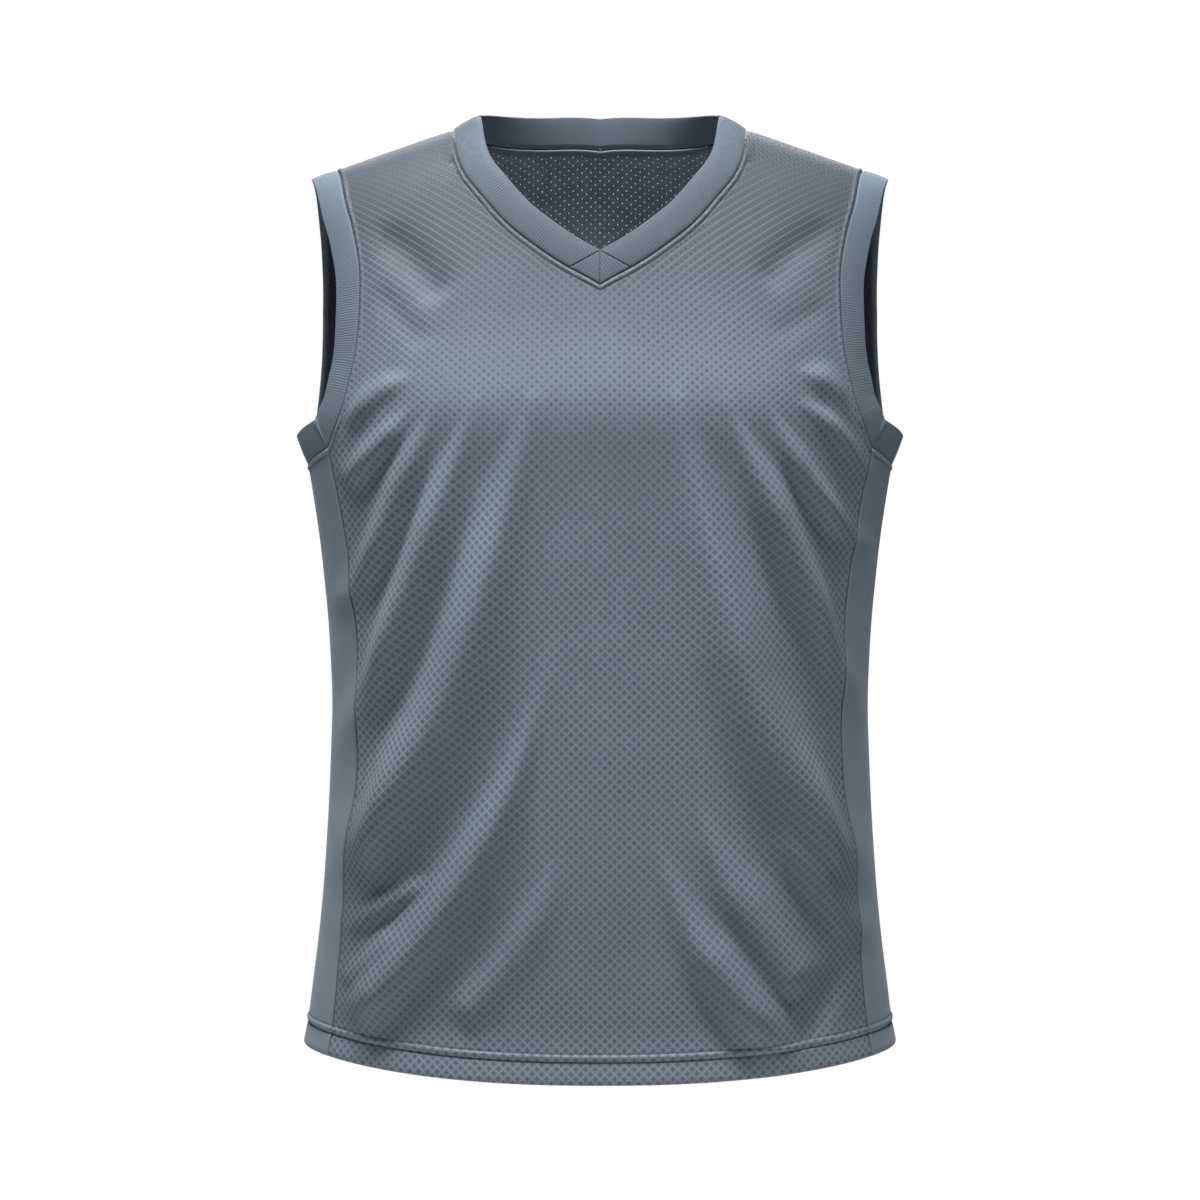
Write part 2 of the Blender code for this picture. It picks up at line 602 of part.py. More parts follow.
def build():
    clear_scene()
    mesh_knit, plain_knit, rib_knit = (material(*finish) for finish in FINISHES)

    # Seams shared by the panels, for the wearer's left half
    top = CHEST + YOKE
    neck_side, tip = (NECK_SIDE, top), (SHOULDER_TIP, top)
    shoulder_seam = stations(np.array([neck_side, tip]), SHOULDER_CELLS)
    side_top = (side_seam_x(SIDE_TOP), SIDE_TOP)
    v_point = (0.0, float(cloth_height(0.0, FRONT_NECK_DEPTH)))
    neck_back = (0.0, float(cloth_height(0.0, BACK_NECK_DEPTH)))
    neckline = seam_stations(FRONT_NECKLINE, v_point, neck_side, SEAM_STEPS)
    gusset_end = int(np.argmax(neckline[:, 0] > GUSSET_REACH))
    front_neckline = np.vstack([stations(neckline[:gusset_end + 1], GUSSET_CELLS),
                                stations(neckline[gusset_end:], FRONT_NECK_CELLS)[1:]])
    back_neckline = seam_stations(BACK_NECKLINE, neck_back, neck_side, BACK_NECK_CELLS)
    front_armhole = seam_stations(FRONT_ARMHOLE, side_top, tip, FRONT_ARMHOLE_ROWS)
    back_armhole = seam_stations(BACK_ARMHOLE, side_top, tip, BACK_ARMHOLE_ROWS)

    # Body panels
    front, front_facing = whole_panel(
        half_panel(FRONT_DIP, front_neckline, shoulder_seam, front_armhole), panel_form(-1))
    back, back_facing = whole_panel(
        half_panel(BACK_DIP, back_neckline, shoulder_seam, back_armhole), panel_form(1))
    panel("front", front, front_facing, mesh_knit)
    panel("back", back, back_facing, mesh_knit)

    # Side panels and armhole bands; a band's stations run against the edges of the panels it joins
    for hand, side in ((1, "left"), (-1, "right")):
        points, facing = side_panel(hand)
        panel(f"side_{side}", points, facing, plain_knit)
        front_edge, back_edge = (-1, 0) if hand > 0 else (0, -1)
        pieces = [(front[front_edge, :SIDE_ROWS - 1:-1], front_facing[front_edge, :SIDE_ROWS - 1:-1]),
                  (points[::hand][1:-1, -1], facing[::hand][1:-1, -1]),
                  (back[back_edge, SIDE_ROWS:-1], back_facing[back_edge, SIDE_ROWS:-1])]
        seam = np.vstack([piece[0] for piece in pieces])
        seam_facing = np.vstack([piece[1] for piece in pieces])
        steps = np.linalg.norm(np.roll(seam, -1, axis=0) - seam, axis=1)
        round_share = np.append(0, np.cumsum(steps)[:-1]) / steps.sum()
        armband(f"armband_{side}", seam[::hand], seam_facing[::hand], round_share[::hand], plain_knit)

    # Neck: stations from the V over the wearer's left shoulder, round the back and down again
    centre = GUSSET_CELLS + FRONT_NECK_CELLS + SHOULDER_CELLS
    neck_side_column = GUSSET_CELLS + FRONT_NECK_CELLS
    left_front = slice(centre, centre + neck_side_column + 1)
    right_front = slice(centre - neck_side_column, centre)
    back_columns = slice(SHOULDER_CELLS + 1, -SHOULDER_CELLS - 1)
    seam = np.vstack([front[left_front, -1], back[back_columns, -1], front[right_front, -1]])
    facing = np.vstack([front_facing[left_front, -1], back_facing[back_columns, -1],
                        front_facing[right_front, -1]])
    edge, edge_facing = neckband_edge(seam, facing)
    strip = slice(GUSSET_CELLS, len(seam) - GUSSET_CELLS + 1)
    strip_edge = edge[strip].copy()
    strip_edge[0] = strip_edge[-1] = edge[0]
    neckband("neckband", seam[strip], strip_edge, facing[strip], edge_facing[strip], rib_knit)
    left_base = np.arange(GUSSET_CELLS + 1)
    right_base = np.arange(-GUSSET_CELLS, 1)
    for side, base in (("left", left_base), ("right", right_base)):
        gusset(f"v_gusset_{side}", seam[base], facing[base], edge[:1], edge_facing[:1], rib_knit)
    tape_columns = slice(SHOULDER_CELLS, len(back) - SHOULDER_CELLS)
    neck_tape("back_neck_tape", back[tape_columns, -1], back[tape_columns, -2],
              back_facing[tape_columns, -1], back_facing[tape_columns, -2], plain_knit)


build()
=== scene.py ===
"""Looks of the flag football jersey: cloth, sewing, light and camera, in metres.

The front faces -Y, the wearer's left is at +X, and the origin is where the wearer's shoulders hold it.
"""
import math

import bpy
import numpy as np
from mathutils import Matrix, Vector


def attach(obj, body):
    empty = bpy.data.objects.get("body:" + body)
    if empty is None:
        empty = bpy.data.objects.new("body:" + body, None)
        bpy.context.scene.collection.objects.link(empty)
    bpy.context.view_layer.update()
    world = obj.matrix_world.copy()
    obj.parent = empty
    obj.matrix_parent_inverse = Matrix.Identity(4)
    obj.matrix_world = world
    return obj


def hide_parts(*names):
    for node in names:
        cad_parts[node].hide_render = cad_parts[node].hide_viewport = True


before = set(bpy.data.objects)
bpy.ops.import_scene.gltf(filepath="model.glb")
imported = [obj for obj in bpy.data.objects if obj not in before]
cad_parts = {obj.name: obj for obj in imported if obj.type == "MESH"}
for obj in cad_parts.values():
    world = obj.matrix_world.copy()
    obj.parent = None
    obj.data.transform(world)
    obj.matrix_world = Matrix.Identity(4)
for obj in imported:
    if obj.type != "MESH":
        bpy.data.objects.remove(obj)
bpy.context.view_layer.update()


# Camera, floor and light: the jersey hangs at shoulder height in front of a white studio wall. A large
# lamp above the camera lights the chest and the tops of the folds, and a weak one fills from below.
VIEW_DISTANCE = 2.3
VIEW_WIDTH = 0.912  # width of the picture at the depth of the shoulders
VIEW_HEIGHT = -0.351
SENSOR = 36.0  # mm
FLOOR = -1.45
FLOOR_WIDTH = 4.0
FLOOR_COLOUR = (0.86, 0.87, 0.88, 1)
FLOOR_ROUGHNESS = 0.9
WALL_GLOW = 1.0  # the white behind the jersey, as the camera sees it
WALL_LIGHT = 0.05  # what it sheds on the cloth
AIM = (0.0, -0.05, -0.33)
LAMPS = {
    "key": {"place": (-0.22, -0.78, 2.35), "size": (2.0, 0.35), "watts": 152.0},
    "fill": {"place": (0.0, -2.4, 0.35), "size": (1.6, 0.8), "watts": 4.5},
    "rear": {"place": (0.0, 2.0, 1.3), "size": (2.0, 1.0), "watts": 22.0},
}

scene = bpy.context.scene
scene.view_settings.view_transform = "Standard"
bpy.ops.object.select_all(action="DESELECT")
bpy.ops.object.camera_add(location=(0, -VIEW_DISTANCE, VIEW_HEIGHT), rotation=(math.pi / 2, 0, 0))
camera = bpy.context.object
camera.name = "camera"
camera.data.sensor_width = SENSOR
camera.data.lens = SENSOR * VIEW_DISTANCE / VIEW_WIDTH
scene.camera = camera

for lamp_name, lamp in LAMPS.items():
    bpy.ops.object.light_add(type="AREA", location=lamp["place"])
    light = bpy.context.object
    light.name = lamp_name
    light.data.shape = "RECTANGLE"
    light.data.size, light.data.size_y = lamp["size"]
    light.data.energy = lamp["watts"]
    light.rotation_euler = (Vector(AIM) - light.location).to_track_quat("-Z", "Y").to_euler()

world = bpy.data.worlds.new("studio")
world.use_nodes = True
scene.world = world
wall = world.node_tree.nodes["Background"]
wall.inputs["Color"].default_value = (1, 1, 1, 1)
seen = world.node_tree.nodes.new("ShaderNodeLightPath")
glow = world.node_tree.nodes.new("ShaderNodeMapRange")
glow.inputs["To Min"].default_value = WALL_LIGHT
glow.inputs["To Max"].default_value = WALL_GLOW
world.node_tree.links.new(seen.outputs["Is Camera Ray"], glow.inputs["Value"])
world.node_tree.links.new(glow.outputs["Result"], wall.inputs["Strength"])

bpy.ops.mesh.primitive_plane_add(size=FLOOR_WIDTH, location=(0, 0, FLOOR))
floor = bpy.context.object
floor.name = "floor"
floor_paint = bpy.data.materials.new("floor_paint")
floor_paint.use_nodes = True
floor_shader = floor_paint.node_tree.nodes["Principled BSDF"]
floor_shader.inputs["Base Color"].default_value = FLOOR_COLOUR
floor_shader.inputs["Roughness"].default_value = FLOOR_ROUGHNESS
floor.data.materials.append(floor_paint)


# Front and back: two panels of pinhole mesh, a warp-knitted polyester with a lattice of small holes and
# raised diagonal threads. The front has a V neckline and hangs in long slanting folds from the chest.
SHEET = 0.0007  # wall of the thin cloth
ROUNDNESS = 2.3  # sections seen from above are superellipses of this power
CHEST = -0.215  # fullest level, above which the cloth leans back to the shoulders
YOKE = 0.29  # cloth from the chest level to the shoulder seam
SMOOTHING = 0.018  # the torso's sizes are averaged this far up and down
HEM_SIDE = -0.6854
FRONT_DIP = 0.0166  # the hem is lower at the centre than at the sides
BACK_DIP = 0.0120
RIDGE_TOP = 0.0344
SHOULDER_SLOPE = 0.36
RIDGE_ROUNDING = 0.04
NECK_SIDE = 0.1117
SHOULDER_TIP = 0.1999
FRONT_NECK_DEPTH = -0.1219
BACK_NECK_DEPTH = -0.0007
SIDE_TOP = -0.238  # where the side seams meet the armhole
UNDERARM = -0.2495


def table(columns, *rows):
    """Rows of sizes as one array for each named column."""
    return dict(zip(columns.split(), np.array(rows, float).T))


TORSO = table(
    "height  half_width front_depth back_depth seam_inset",
    (-0.705, 0.2250, 0.1150, 0.1080, 0.0216),
    (-0.655, 0.2196, 0.1140, 0.1065, 0.0228),
    (-0.600, 0.2125, 0.1130, 0.1045, 0.0200),
    (-0.550, 0.2080, 0.1125, 0.1020, 0.0192),
    (-0.500, 0.2052, 0.1120, 0.1000, 0.0244),
    (-0.427, 0.2025, 0.1125, 0.0985, 0.0246),
    (-0.366, 0.2056, 0.1150, 0.1000, 0.0250),
    (-0.305, 0.2120, 0.1180, 0.1040, 0.0240),
    (-0.260, 0.2190, 0.1205, 0.1080, 0.0220),
    (-0.232, 0.2240, 0.1220, 0.1100, 0.0210),
    (-0.215, 0.2250, 0.1220, 0.1100, 0.0210))
YOKE_PROFILE = table(  # shares of the rise to the ridge and of the chest's depth left there
    "rise depth",
    (0.000, 1.00), (0.200, 0.92), (0.400, 0.83), (0.600, 0.72), (0.800, 0.56), (0.920, 0.38),
    (0.975, 0.20), (1.000, 0.00))
FRONT_NECKLINE = table(
    "x z",
    (0.0276, -0.1062), (0.0495, -0.0908), (0.0695, -0.0739), (0.0875, -0.0525), (0.1004, -0.0349),
    (0.1074, -0.0147))
BACK_NECKLINE = table(
    "x z",
    (0.0450, -0.0003), (0.0780, 0.0004), (0.0984, 0.0029), (0.1084, 0.0049))
FRONT_ARMHOLE = table(
    "x z",
    (0.1907, -0.2119), (0.1846, -0.1892), (0.1798, -0.1657), (0.1780, -0.1393), (0.1776, -0.1170),
    (0.1792, -0.0982), (0.1847, -0.0730), (0.1915, -0.0499))
BACK_ARMHOLE = table(
    "x z",
    (0.1985, -0.2100), (0.1947, -0.1802), (0.1926, -0.1504), (0.1921, -0.1155), (0.1937, -0.0804),
    (0.1964, -0.0502))
# Each ridge runs down a smooth curve through four points of the panel, seen from the front or back. It
# spreads by one reach above itself and by another below, and lift is how far it stands out, all in mm.
# It begins with start percent of its lift and is full after grown percent of its length. A negative lift
# is a trough.
FOLD_COLUMNS = "x1 z1 x2 z2 x3 z3 x4 z4 upper lower lift start grown"
FOLD_UNITS = (1000,) * 11 + (100,) * 2


def fold_table(*rows):
    """Rows of sizes in mm and percent as columns in metres and shares."""
    return table(FOLD_COLUMNS, *np.divide(rows, FOLD_UNITS))


FRONT_FOLDS = fold_table(
    (-156, -205, -58, -208, 58, -208, 163, -202, 40, 40, 3, 50, 10),
    (-91, -208, -117, -284, -142, -355, -199, -478, 12.5, 15, 16, 20, 45),
    (-49, -208, -80, -326, -120, -445, -204, -572, 20, 21, 23, 16, 50),
    (-32, -380, -69, -496, -116, -583, -192, -677, 18, 15, 16, 0, 50),
    (-22, -517, -43, -575, -72, -622, -109, -662, 14, 14, 5.5, 0, 50),
    (90, -208, 119, -271, 146, -333, 201, -456, 12, 13, 15.5, 20, 45),
    (55, -208, 87, -337, 124, -456, 206, -579, 21, 25, 23, 16, 50),
    (107, -434, 132, -519, 159, -558, 206, -615, 13, 12, 12, 0, 50),
    (62, -481, 91, -554, 119, -598, 149, -644, 20, 13, 10, 0, 50),
    (33, -510, 65, -590, 94, -633, 145, -702, 16, 15, 15, 0, 55))
BACK_FOLDS = fold_table(
    (-150, -207, -50, -212, 60, -210, 150, -207, 40, 40, 3, 50, 10),
    (-118, -211, -135, -275, -155, -330, -198, -395, 10.5, 11.5, 9.5, 40, 35),
    (-82, -211, -104, -330, -135, -440, -200, -560, 16, 18, 15, 35, 45),
    (-35, -330, -62, -440, -100, -550, -165, -670, 18, 16, 11.5, 0, 50),
    (16, -380, 8, -480, -12, -570, -35, -660, 18, 18, 5.5, 0, 50),
    (54, -211, 78, -340, 112, -460, 200, -610, 20, 20, 16, 35, 50),
    (108, -211, 128, -280, 152, -345, 200, -440, 11, 12, 11, 40, 40),
    (55, -470, 80, -560, 115, -622, 160, -675, 16, 14, 10, 0, 50))
# Small creases: between the chest and the armholes, from the shoulders, and low down at the sides
FRONT_CREASES = fold_table(
    (-119, -208, -142, -263, -164, -313, -199, -367, 10.5, 11.5, 10.5, 25, 35),
    (-127, -186, -151, -195, -170, -206, -192, -221, 10, 9, 5.5, 0, 40),
    (-136, -212, -153, -231, -169, -246, -192, -268, 9, 9, 6.5, 40, 35),
    (-107, -545, -134, -562, -159, -576, -195, -598, 9, 8, 5.5, 0, 40),
    (-127, -583, -151, -601, -169, -617, -195, -637, 9, 9, 6.5, 0, 40),
    (120, -208, 143, -251, 169, -286, 203, -319, 8.5, 9.5, 9.5, 25, 35),
    (134, -183, 159, -189, 177, -199, 199, -219, 10, 9, 5.5, 0, 40),
    (148, -209, 169, -224, 182, -238, 203, -261, 7, 8, 6, 40, 35),
    (197, -601, 179, -627, 161, -655, 141, -680, 10, 9, -4.5, 0, 35),
    (-172, -70, -153, -87, -134, -106, -112, -134, 13, 14, -4, 0, 40),
    (-169, -114, -156, -132, -141, -150, -124, -166, 8, 9, -1.8, 0, 40),
    (178, -65, 158, -82, 137, -99, 116, -123, 11, 13, -3, 0, 40),
    (171, -128, 156, -140, 141, -150, 127, -159, 8, 9, -1.5, 0, 40))
BACK_CREASES = fold_table(
    (-138, -207, -158, -224, -176, -242, -200, -262, 8, 8, 5.5, 40, 35),
    (-110, -580, -138, -604, -160, -620, -198, -645, 9, 8, 5.5, 0, 40),
    (140, -207, 160, -218, 178, -236, 200, -260, 8, 8, 5.5, 40, 35),
    (118, -550, 142, -576, 162, -594, 198, -622, 9, 8, 5.5, 0, 40),
    (-165, -75, -148, -92, -130, -112, -105, -140, 13, 14, -3, 0, 40),
    (170, -70, 150, -88, 132, -108, 110, -130, 12, 13, -3, 0, 40))
CURVE_STEPS = 5  # between two points of a fold
FADE_OUT = 0.14  # share of a fold's length over which it sinks back into the cloth
THIN = 0.4  # share of its reach that a fold without lift still has
MERGING = 3.0  # ridges that meet merge by this power mean
ARMHOLE_HOLD = 0.016  # folds are held flat this near an armhole
SIDE_HOLD = 0.030  # and sink to a share of their lift towards the side seams and the hem
SIDE_SHARE = 0.3
HEM_HOLD = 0.040
HEM_SHARE = 0.35

# Shape of the sewn edges, as lifts at distances from the seam: a plain seam is a groove between two
# soft rolls, and along the neck and armholes the seam's allowance is stitched down under the panel.
PLAIN_SEAM = table(
    "away lift",
    (0.0000, -0.0020), (0.0007, -0.0009), (0.0016, 0.0003), (0.0045, 0.0000))
STITCHED_SEAM = table(
    "away lift",
    (0.0000, -0.0010), (0.0007, 0.0002), (0.0014, 0.0008), (0.0027, 0.0009), (0.0036, 0.0005),
    (0.0042, -0.0003), (0.0049, 0.0001), (0.0070, 0.0000))
HEM_EDGE = table(
    "away lift",
    (0.0000, -0.0006), (0.0006, 0.0009), (0.0018, 0.0016), (0.0100, 0.0009), (0.0160, 0.0001),
    (0.0168, -0.0009), (0.0175, -0.0002), (0.0188, 0.0010), (0.0205, 0.0013), (0.0218, 0.0008),
    (0.0226, -0.0003), (0.0234, 0.0001), (0.0260, 0.0000))

# Grid of a panel: fine steps beside its sewn edges, even ones between
HEM_STEPS = (0, 0.0006, 0.0012, 0.002, 0.005, 0.0085, 0.012, 0.0145, 0.016, 0.0168, 0.0175, 0.018, 0.0188,
             0.0197, 0.0205, 0.0212, 0.0218, 0.0226, 0.0234, 0.0245, 0.026)
EDGE_STEPS = (0.0075, 0.0058, 0.0049, 0.0042, 0.0036, 0.0027, 0.002, 0.0014, 0.0007, 0)
BODY_ROWS = 132
ARMHOLE_ROWS = 88
TOP_CROWDING = 1.35  # rows crowd towards the neckline and the shoulder seam
NECK_COLUMNS = 46
SHOULDER_COLUMNS = 17
NECK_PART = 0.72  # share of a half panel's columns that end at the neckline
PANEL_WIDTH = 0.20
LEVEL_PART = 0.4  # share of the rows that stay level, from the hem up
WELD = 0.00002  # closes a ring's last column on its first


def unit(vectors):
    return vectors / np.linalg.norm(vectors, axis=-1, keepdims=True)


def smoothstep(value):
    value = np.clip(value, 0, 1)
    return value * value * (3 - 2 * value)


def torso(column, height):
    """One of the torso's sizes at each height, smoothed."""
    shifts = np.linspace(-SMOOTHING, SMOOTHING, 7)
    return np.mean([np.interp(height + shift, TORSO["height"], TORSO[column]) for shift in shifts], axis=0)


def superellipse(place, half, other_half):
    """The other coordinate of a section at a place along its half."""
    share = np.clip(np.abs(place / half), 0, 1)
    return other_half * (1 - share ** ROUNDNESS) ** (1 / ROUNDNESS)


def ridge(x):
    """Height of the shoulders' ridge."""
    return RIDGE_TOP - SHOULDER_SLOPE * (np.sqrt(x * x + RIDGE_ROUNDING ** 2) - RIDGE_ROUNDING)


def smooth_path(points, steps=16):
    """Dense smooth curve through the points."""
    points = np.array(points, float)
    padded = np.vstack([2 * points[0] - points[1], points, 2 * points[-1] - points[-2]])
    t = np.linspace(0, 1, steps, endpoint=False)[:, None]
    spans = [b + 0.5 * t * (c - a + t * (2 * a - 5 * b + 4 * c - d + t * (3 * (b - c) + d - a)))
             for a, b, c, d in zip(padded, padded[1:], padded[2:], padded[3:])]
    return np.vstack(spans + [points[-1:]])


def arc_lengths(path):
    return np.append(0, np.cumsum(np.linalg.norm(np.diff(path, axis=0), axis=1)))


yoke_rise, yoke_depth = smooth_path(np.column_stack([YOKE_PROFILE["rise"], YOKE_PROFILE["depth"]])).T
yoke_size = np.array([RIDGE_TOP - CHEST, TORSO["front_depth"][-1]])
yoke_share = arc_lengths(np.column_stack([yoke_rise, yoke_depth]) * yoke_size)
yoke_share /= yoke_share[-1]


def depth_left(h):
    """Share of the torso's depth left at each cloth height, smoothed like its sizes. Past the ridge it
    goes on to the other side, and the rise falls again, so that front and back meet level."""
    depths = []
    for shift in np.linspace(-SMOOTHING, SMOOTHING, 7):
        to_ridge = 1 - (h + shift - CHEST) / YOKE
        depths.append(np.sign(to_ridge) * np.interp(1 - np.abs(to_ridge), yoke_share, yoke_depth))
    return np.mean(depths, axis=0)


def panel_form(facing):
    """Front (facing -1) or back (+1): upright to the chest level, then leaning over to the ridge."""
    depth_column = "front_depth" if facing < 0 else "back_depth"

    def form(p, h):
        x = -facing * p
        level = np.minimum(h, CHEST)
        depth = superellipse(x, torso("half_width", level), torso(depth_column, level))
        rise = np.interp(1 - np.abs(1 - (h - CHEST) / YOKE), yoke_share, yoke_rise)
        return np.stack([x, facing * depth * depth_left(h), level + (ridge(x) - CHEST) * rise], axis=-1)
    return form


def cloth_height(x, z):
    """Height h along a panel's cloth of a point at x and z."""
    rise = np.clip((z - CHEST) / (ridge(x) - CHEST), 0, 1)
    return np.where(z < CHEST, z, CHEST + YOKE * np.interp(rise, yoke_rise, yoke_share))


def fold_lift(x, z, *tables):
    """How far the folds of one panel lift it at x and z."""
    ridges = np.zeros(np.shape(x))
    troughs = np.zeros(np.shape(x))
    for row in (row for folds in tables for row in zip(*folds.values())):
        curve = smooth_path(np.reshape(row[:8], (4, 2)), CURVE_STEPS)
        upper, lower, lift, start, grown = row[8:]
        away = np.full(np.shape(x), np.inf)
        place = np.zeros(np.shape(x))
        side = np.zeros(np.shape(x))
        for span, (a, b) in enumerate(zip(curve, curve[1:])):
            run = b - a
            share = np.clip(((x - a[0]) * run[0] + (z - a[1]) * run[1]) / (run @ run), 0, 1)
            distance = np.hypot(x - a[0] - share * run[0], z - a[1] - share * run[1])
            nearer = distance < away
            turn = run[0] * (z - a[1]) - run[1] * (x - a[0])
            place = np.where(nearer, (span + share) / (len(curve) - 1), place)
            side = np.where(nearer, turn * np.sign(curve[-1, 0] - curve[0, 0]), side)
            away = np.minimum(away, distance)
        swell = start + (1 - start) * smoothstep(place / grown)
        reach = np.where(side > 0, upper, lower) * (THIN + (1 - THIN) * swell)
        height = lift * swell * smoothstep((1 - place) / FADE_OUT) * np.exp(-(away / reach) ** 2)
        ridges += np.maximum(height, 0) ** MERGING
        troughs += np.minimum(height, 0)
    return ridges ** (1 / MERGING) + troughs


def distance_to(path, points):
    """Distance of each point from a polyline."""
    near = np.full(points.shape[:-1], np.inf)
    for a, b in zip(path, path[1:]):
        run = b - a
        share = np.clip((points - a) @ run / (run @ run), 0, 1)
        near = np.minimum(near, np.linalg.norm(points - a - share[..., None] * run, axis=-1))
    return near


def normals(form, p, h, step=0.001):
    """Outward normals of a form."""
    across = form(p + step, h) - form(p - step, h)
    upward = form(p, h + step) - form(p, h - step)
    return unit(np.cross(across, upward))


def draped(form):
    """The form with its folds, which the seams and the hem hold flatter."""
    def form_with_folds(p, h):
        points = form(p, h)
        x, y, z = np.moveaxis(points, -1, 0)
        level = np.minimum(z, CHEST)
        half_width = torso("half_width", level)
        seam_x = half_width - torso("seam_inset", level)
        depth = np.where(y < 0, torso("front_depth", level), torso("back_depth", level))
        share = SIDE_SHARE * smoothstep(np.abs(y) / superellipse(seam_x, half_width, depth))
        share = share + (1 - SIDE_SHARE) * smoothstep((seam_x - np.abs(x)) / SIDE_HOLD)
        armhole = np.column_stack([FRONT_ARMHOLE["x"], FRONT_ARMHOLE["z"]])
        share = share * smoothstep(distance_to(armhole, np.stack([np.abs(x), z], axis=-1)) / ARMHOLE_HOLD)
        share = share * (HEM_SHARE + (1 - HEM_SHARE) * smoothstep((z - HEM_SIDE) / HEM_HOLD))
        front_lift = fold_lift(x, z, FRONT_FOLDS, FRONT_CREASES)
        back_lift = fold_lift(x, z, BACK_FOLDS, BACK_CREASES)
        lift = share * np.where(y < 0, front_lift, back_lift)
        return points + lift[..., None] * normals(form, p, h)
    return form_with_folds


def points_along(path, shares):
    """Points at shares of a path's length."""
    reach = arc_lengths(path)
    return np.column_stack([np.interp(np.asarray(shares) * reach[-1], reach, column) for column in path.T])


def seam_path(rows, first, last):
    """Smooth path of places p and cloth heights h from first through the table's rows to last."""
    x = np.concatenate([[first[0]], rows["x"], [last[0]]])
    h = np.concatenate([[first[1]], cloth_height(rows["x"], rows["z"]), [last[1]]])
    return smooth_path(np.column_stack([x, h]))


def side_seam_x(z):
    return torso("half_width", z) - torso("seam_inset", z)


def hem_height(x, dip):
    """Height of the hem's edge at a distance from the centre."""
    share = np.abs(x) / torso("half_width", HEM_SIDE)
    return HEM_SIDE - dip * (1 - share ** ROUNDNESS)


def rows_up(hem, top):
    """Heights of the rows from the hem to the level of the underarm."""
    steps = hem + np.array(HEM_STEPS)
    return np.concatenate([steps, np.linspace(steps[-1], top, BODY_ROWS + 1)[1:]])


def half_panel(dip, neckline, armhole):
    """Places and cloth heights of half a panel's grid, columns outward from the centre and rows upward."""
    fine = 1 - np.array(EDGE_STEPS) / PANEL_WIDTH
    neck_columns = np.linspace(0, NECK_PART, NECK_COLUMNS + 1)
    shoulder_columns = np.append(np.linspace(NECK_PART, fine[0], SHOULDER_COLUMNS, endpoint=False)[1:], fine)
    across = np.append(neck_columns, shoulder_columns)[:, None, None]
    shoulder_seam = np.array([neckline[-1], armhole[-1]])
    top = np.vstack([points_along(neckline, neck_columns / NECK_PART),
                     points_along(shoulder_seam, (shoulder_columns - NECK_PART) / (1 - NECK_PART))])
    upper = (1 - (1 - np.linspace(0, 1, ARMHOLE_ROWS + 1)) ** TOP_CROWDING)[1:]
    hem_x = across[:, 0, 0] * side_seam_x(HEM_SIDE)
    bottom = np.column_stack([hem_x, hem_height(hem_x, dip)])
    seam_z = rows_up(bottom[-1, 1], SIDE_TOP)
    outer = np.vstack([np.column_stack([side_seam_x(seam_z), seam_z]), points_along(armhole, upper)])
    outer[0] = bottom[-1]
    centre_z = np.append(rows_up(bottom[0, 1], SIDE_TOP), SIDE_TOP + upper * (top[0, 1] - SIDE_TOP))
    inner = np.column_stack([np.zeros(len(centre_z)), centre_z])
    row = np.arange(len(outer)) / (len(outer) - 1)
    rise = smoothstep((row - LEVEL_PART) / (1 - LEVEL_PART))[:, None]
    top_sag = top[:, None] - (1 - across) * top[0] - across * top[-1]
    bottom_sag = bottom[:, None] - (1 - across) * bottom[0] - across * bottom[-1]
    return (1 - across) * inner + across * outer + rise * top_sag + (1 - rise) * bottom_sag


def flat_places(form, p, h, steps=16):
    """Each point's place on the flat cloth, in metres: across from p = 0 at its own height, and up."""
    stops = [form(p * share, h) for share in np.linspace(0, 1, steps + 1)]
    across = np.sum([np.linalg.norm(b - a, axis=-1) for a, b in zip(stops, stops[1:])], axis=0)
    return np.stack([np.sign(p) * across, h], axis=-1)


def shell(name, points, places, finishes, wall=SHEET, ring=False):
    """A grid moved to the cloth's outer face and given its wall inwards, with one finish or an outer and
    an inner one. Its UV map is the flat cloth."""
    columns, rows = points.shape[:2]
    bpy.ops.object.select_all(action="DESELECT")
    bpy.ops.mesh.primitive_grid_add(x_subdivisions=columns - 1, y_subdivisions=rows - 1, size=2)
    piece = bpy.context.object
    piece.name = name
    piece.data.name = name
    flat = np.empty(3 * len(piece.data.vertices))
    piece.data.vertices.foreach_get("co", flat)
    column, row = np.rint((flat.reshape(-1, 3)[:, :2] + 1) / 2 * (columns - 1, rows - 1)).astype(int).T
    piece.data.vertices.foreach_set("co", points[column, row].ravel())
    corners = np.empty(len(piece.data.loops), int)
    piece.data.loops.foreach_get("vertex_index", corners)
    piece.data.uv_layers[0].data.foreach_set("uv", places[column, row][corners].ravel())
    piece.data.update()
    if ring:
        bpy.ops.object.mode_set(mode="EDIT")
        bpy.ops.mesh.select_all(action="SELECT")
        bpy.ops.mesh.remove_doubles(threshold=WELD)
        bpy.ops.object.mode_set(mode="OBJECT")
    thickness = piece.modifiers.new("wall", "SOLIDIFY")
    thickness.thickness = wall
    thickness.offset = -1
    thickness.material_offset = len(finishes) - 1
    for finish in finishes:
        piece.data.materials.append(finish)
    bpy.ops.object.modifier_apply(modifier="wall")
    bpy.ops.object.shade_smooth()
    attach(piece, "root")
    return piece


def math_node(operation, swapped=False):
    """A method of Field that adds a Math node to its finish."""
    def method(field, *others):
        operands = (*others, field) if swapped else (field, *others)
        return field.finish.node("ShaderNodeMath", {"operation": operation}, dict(enumerate(operands)))
    return method


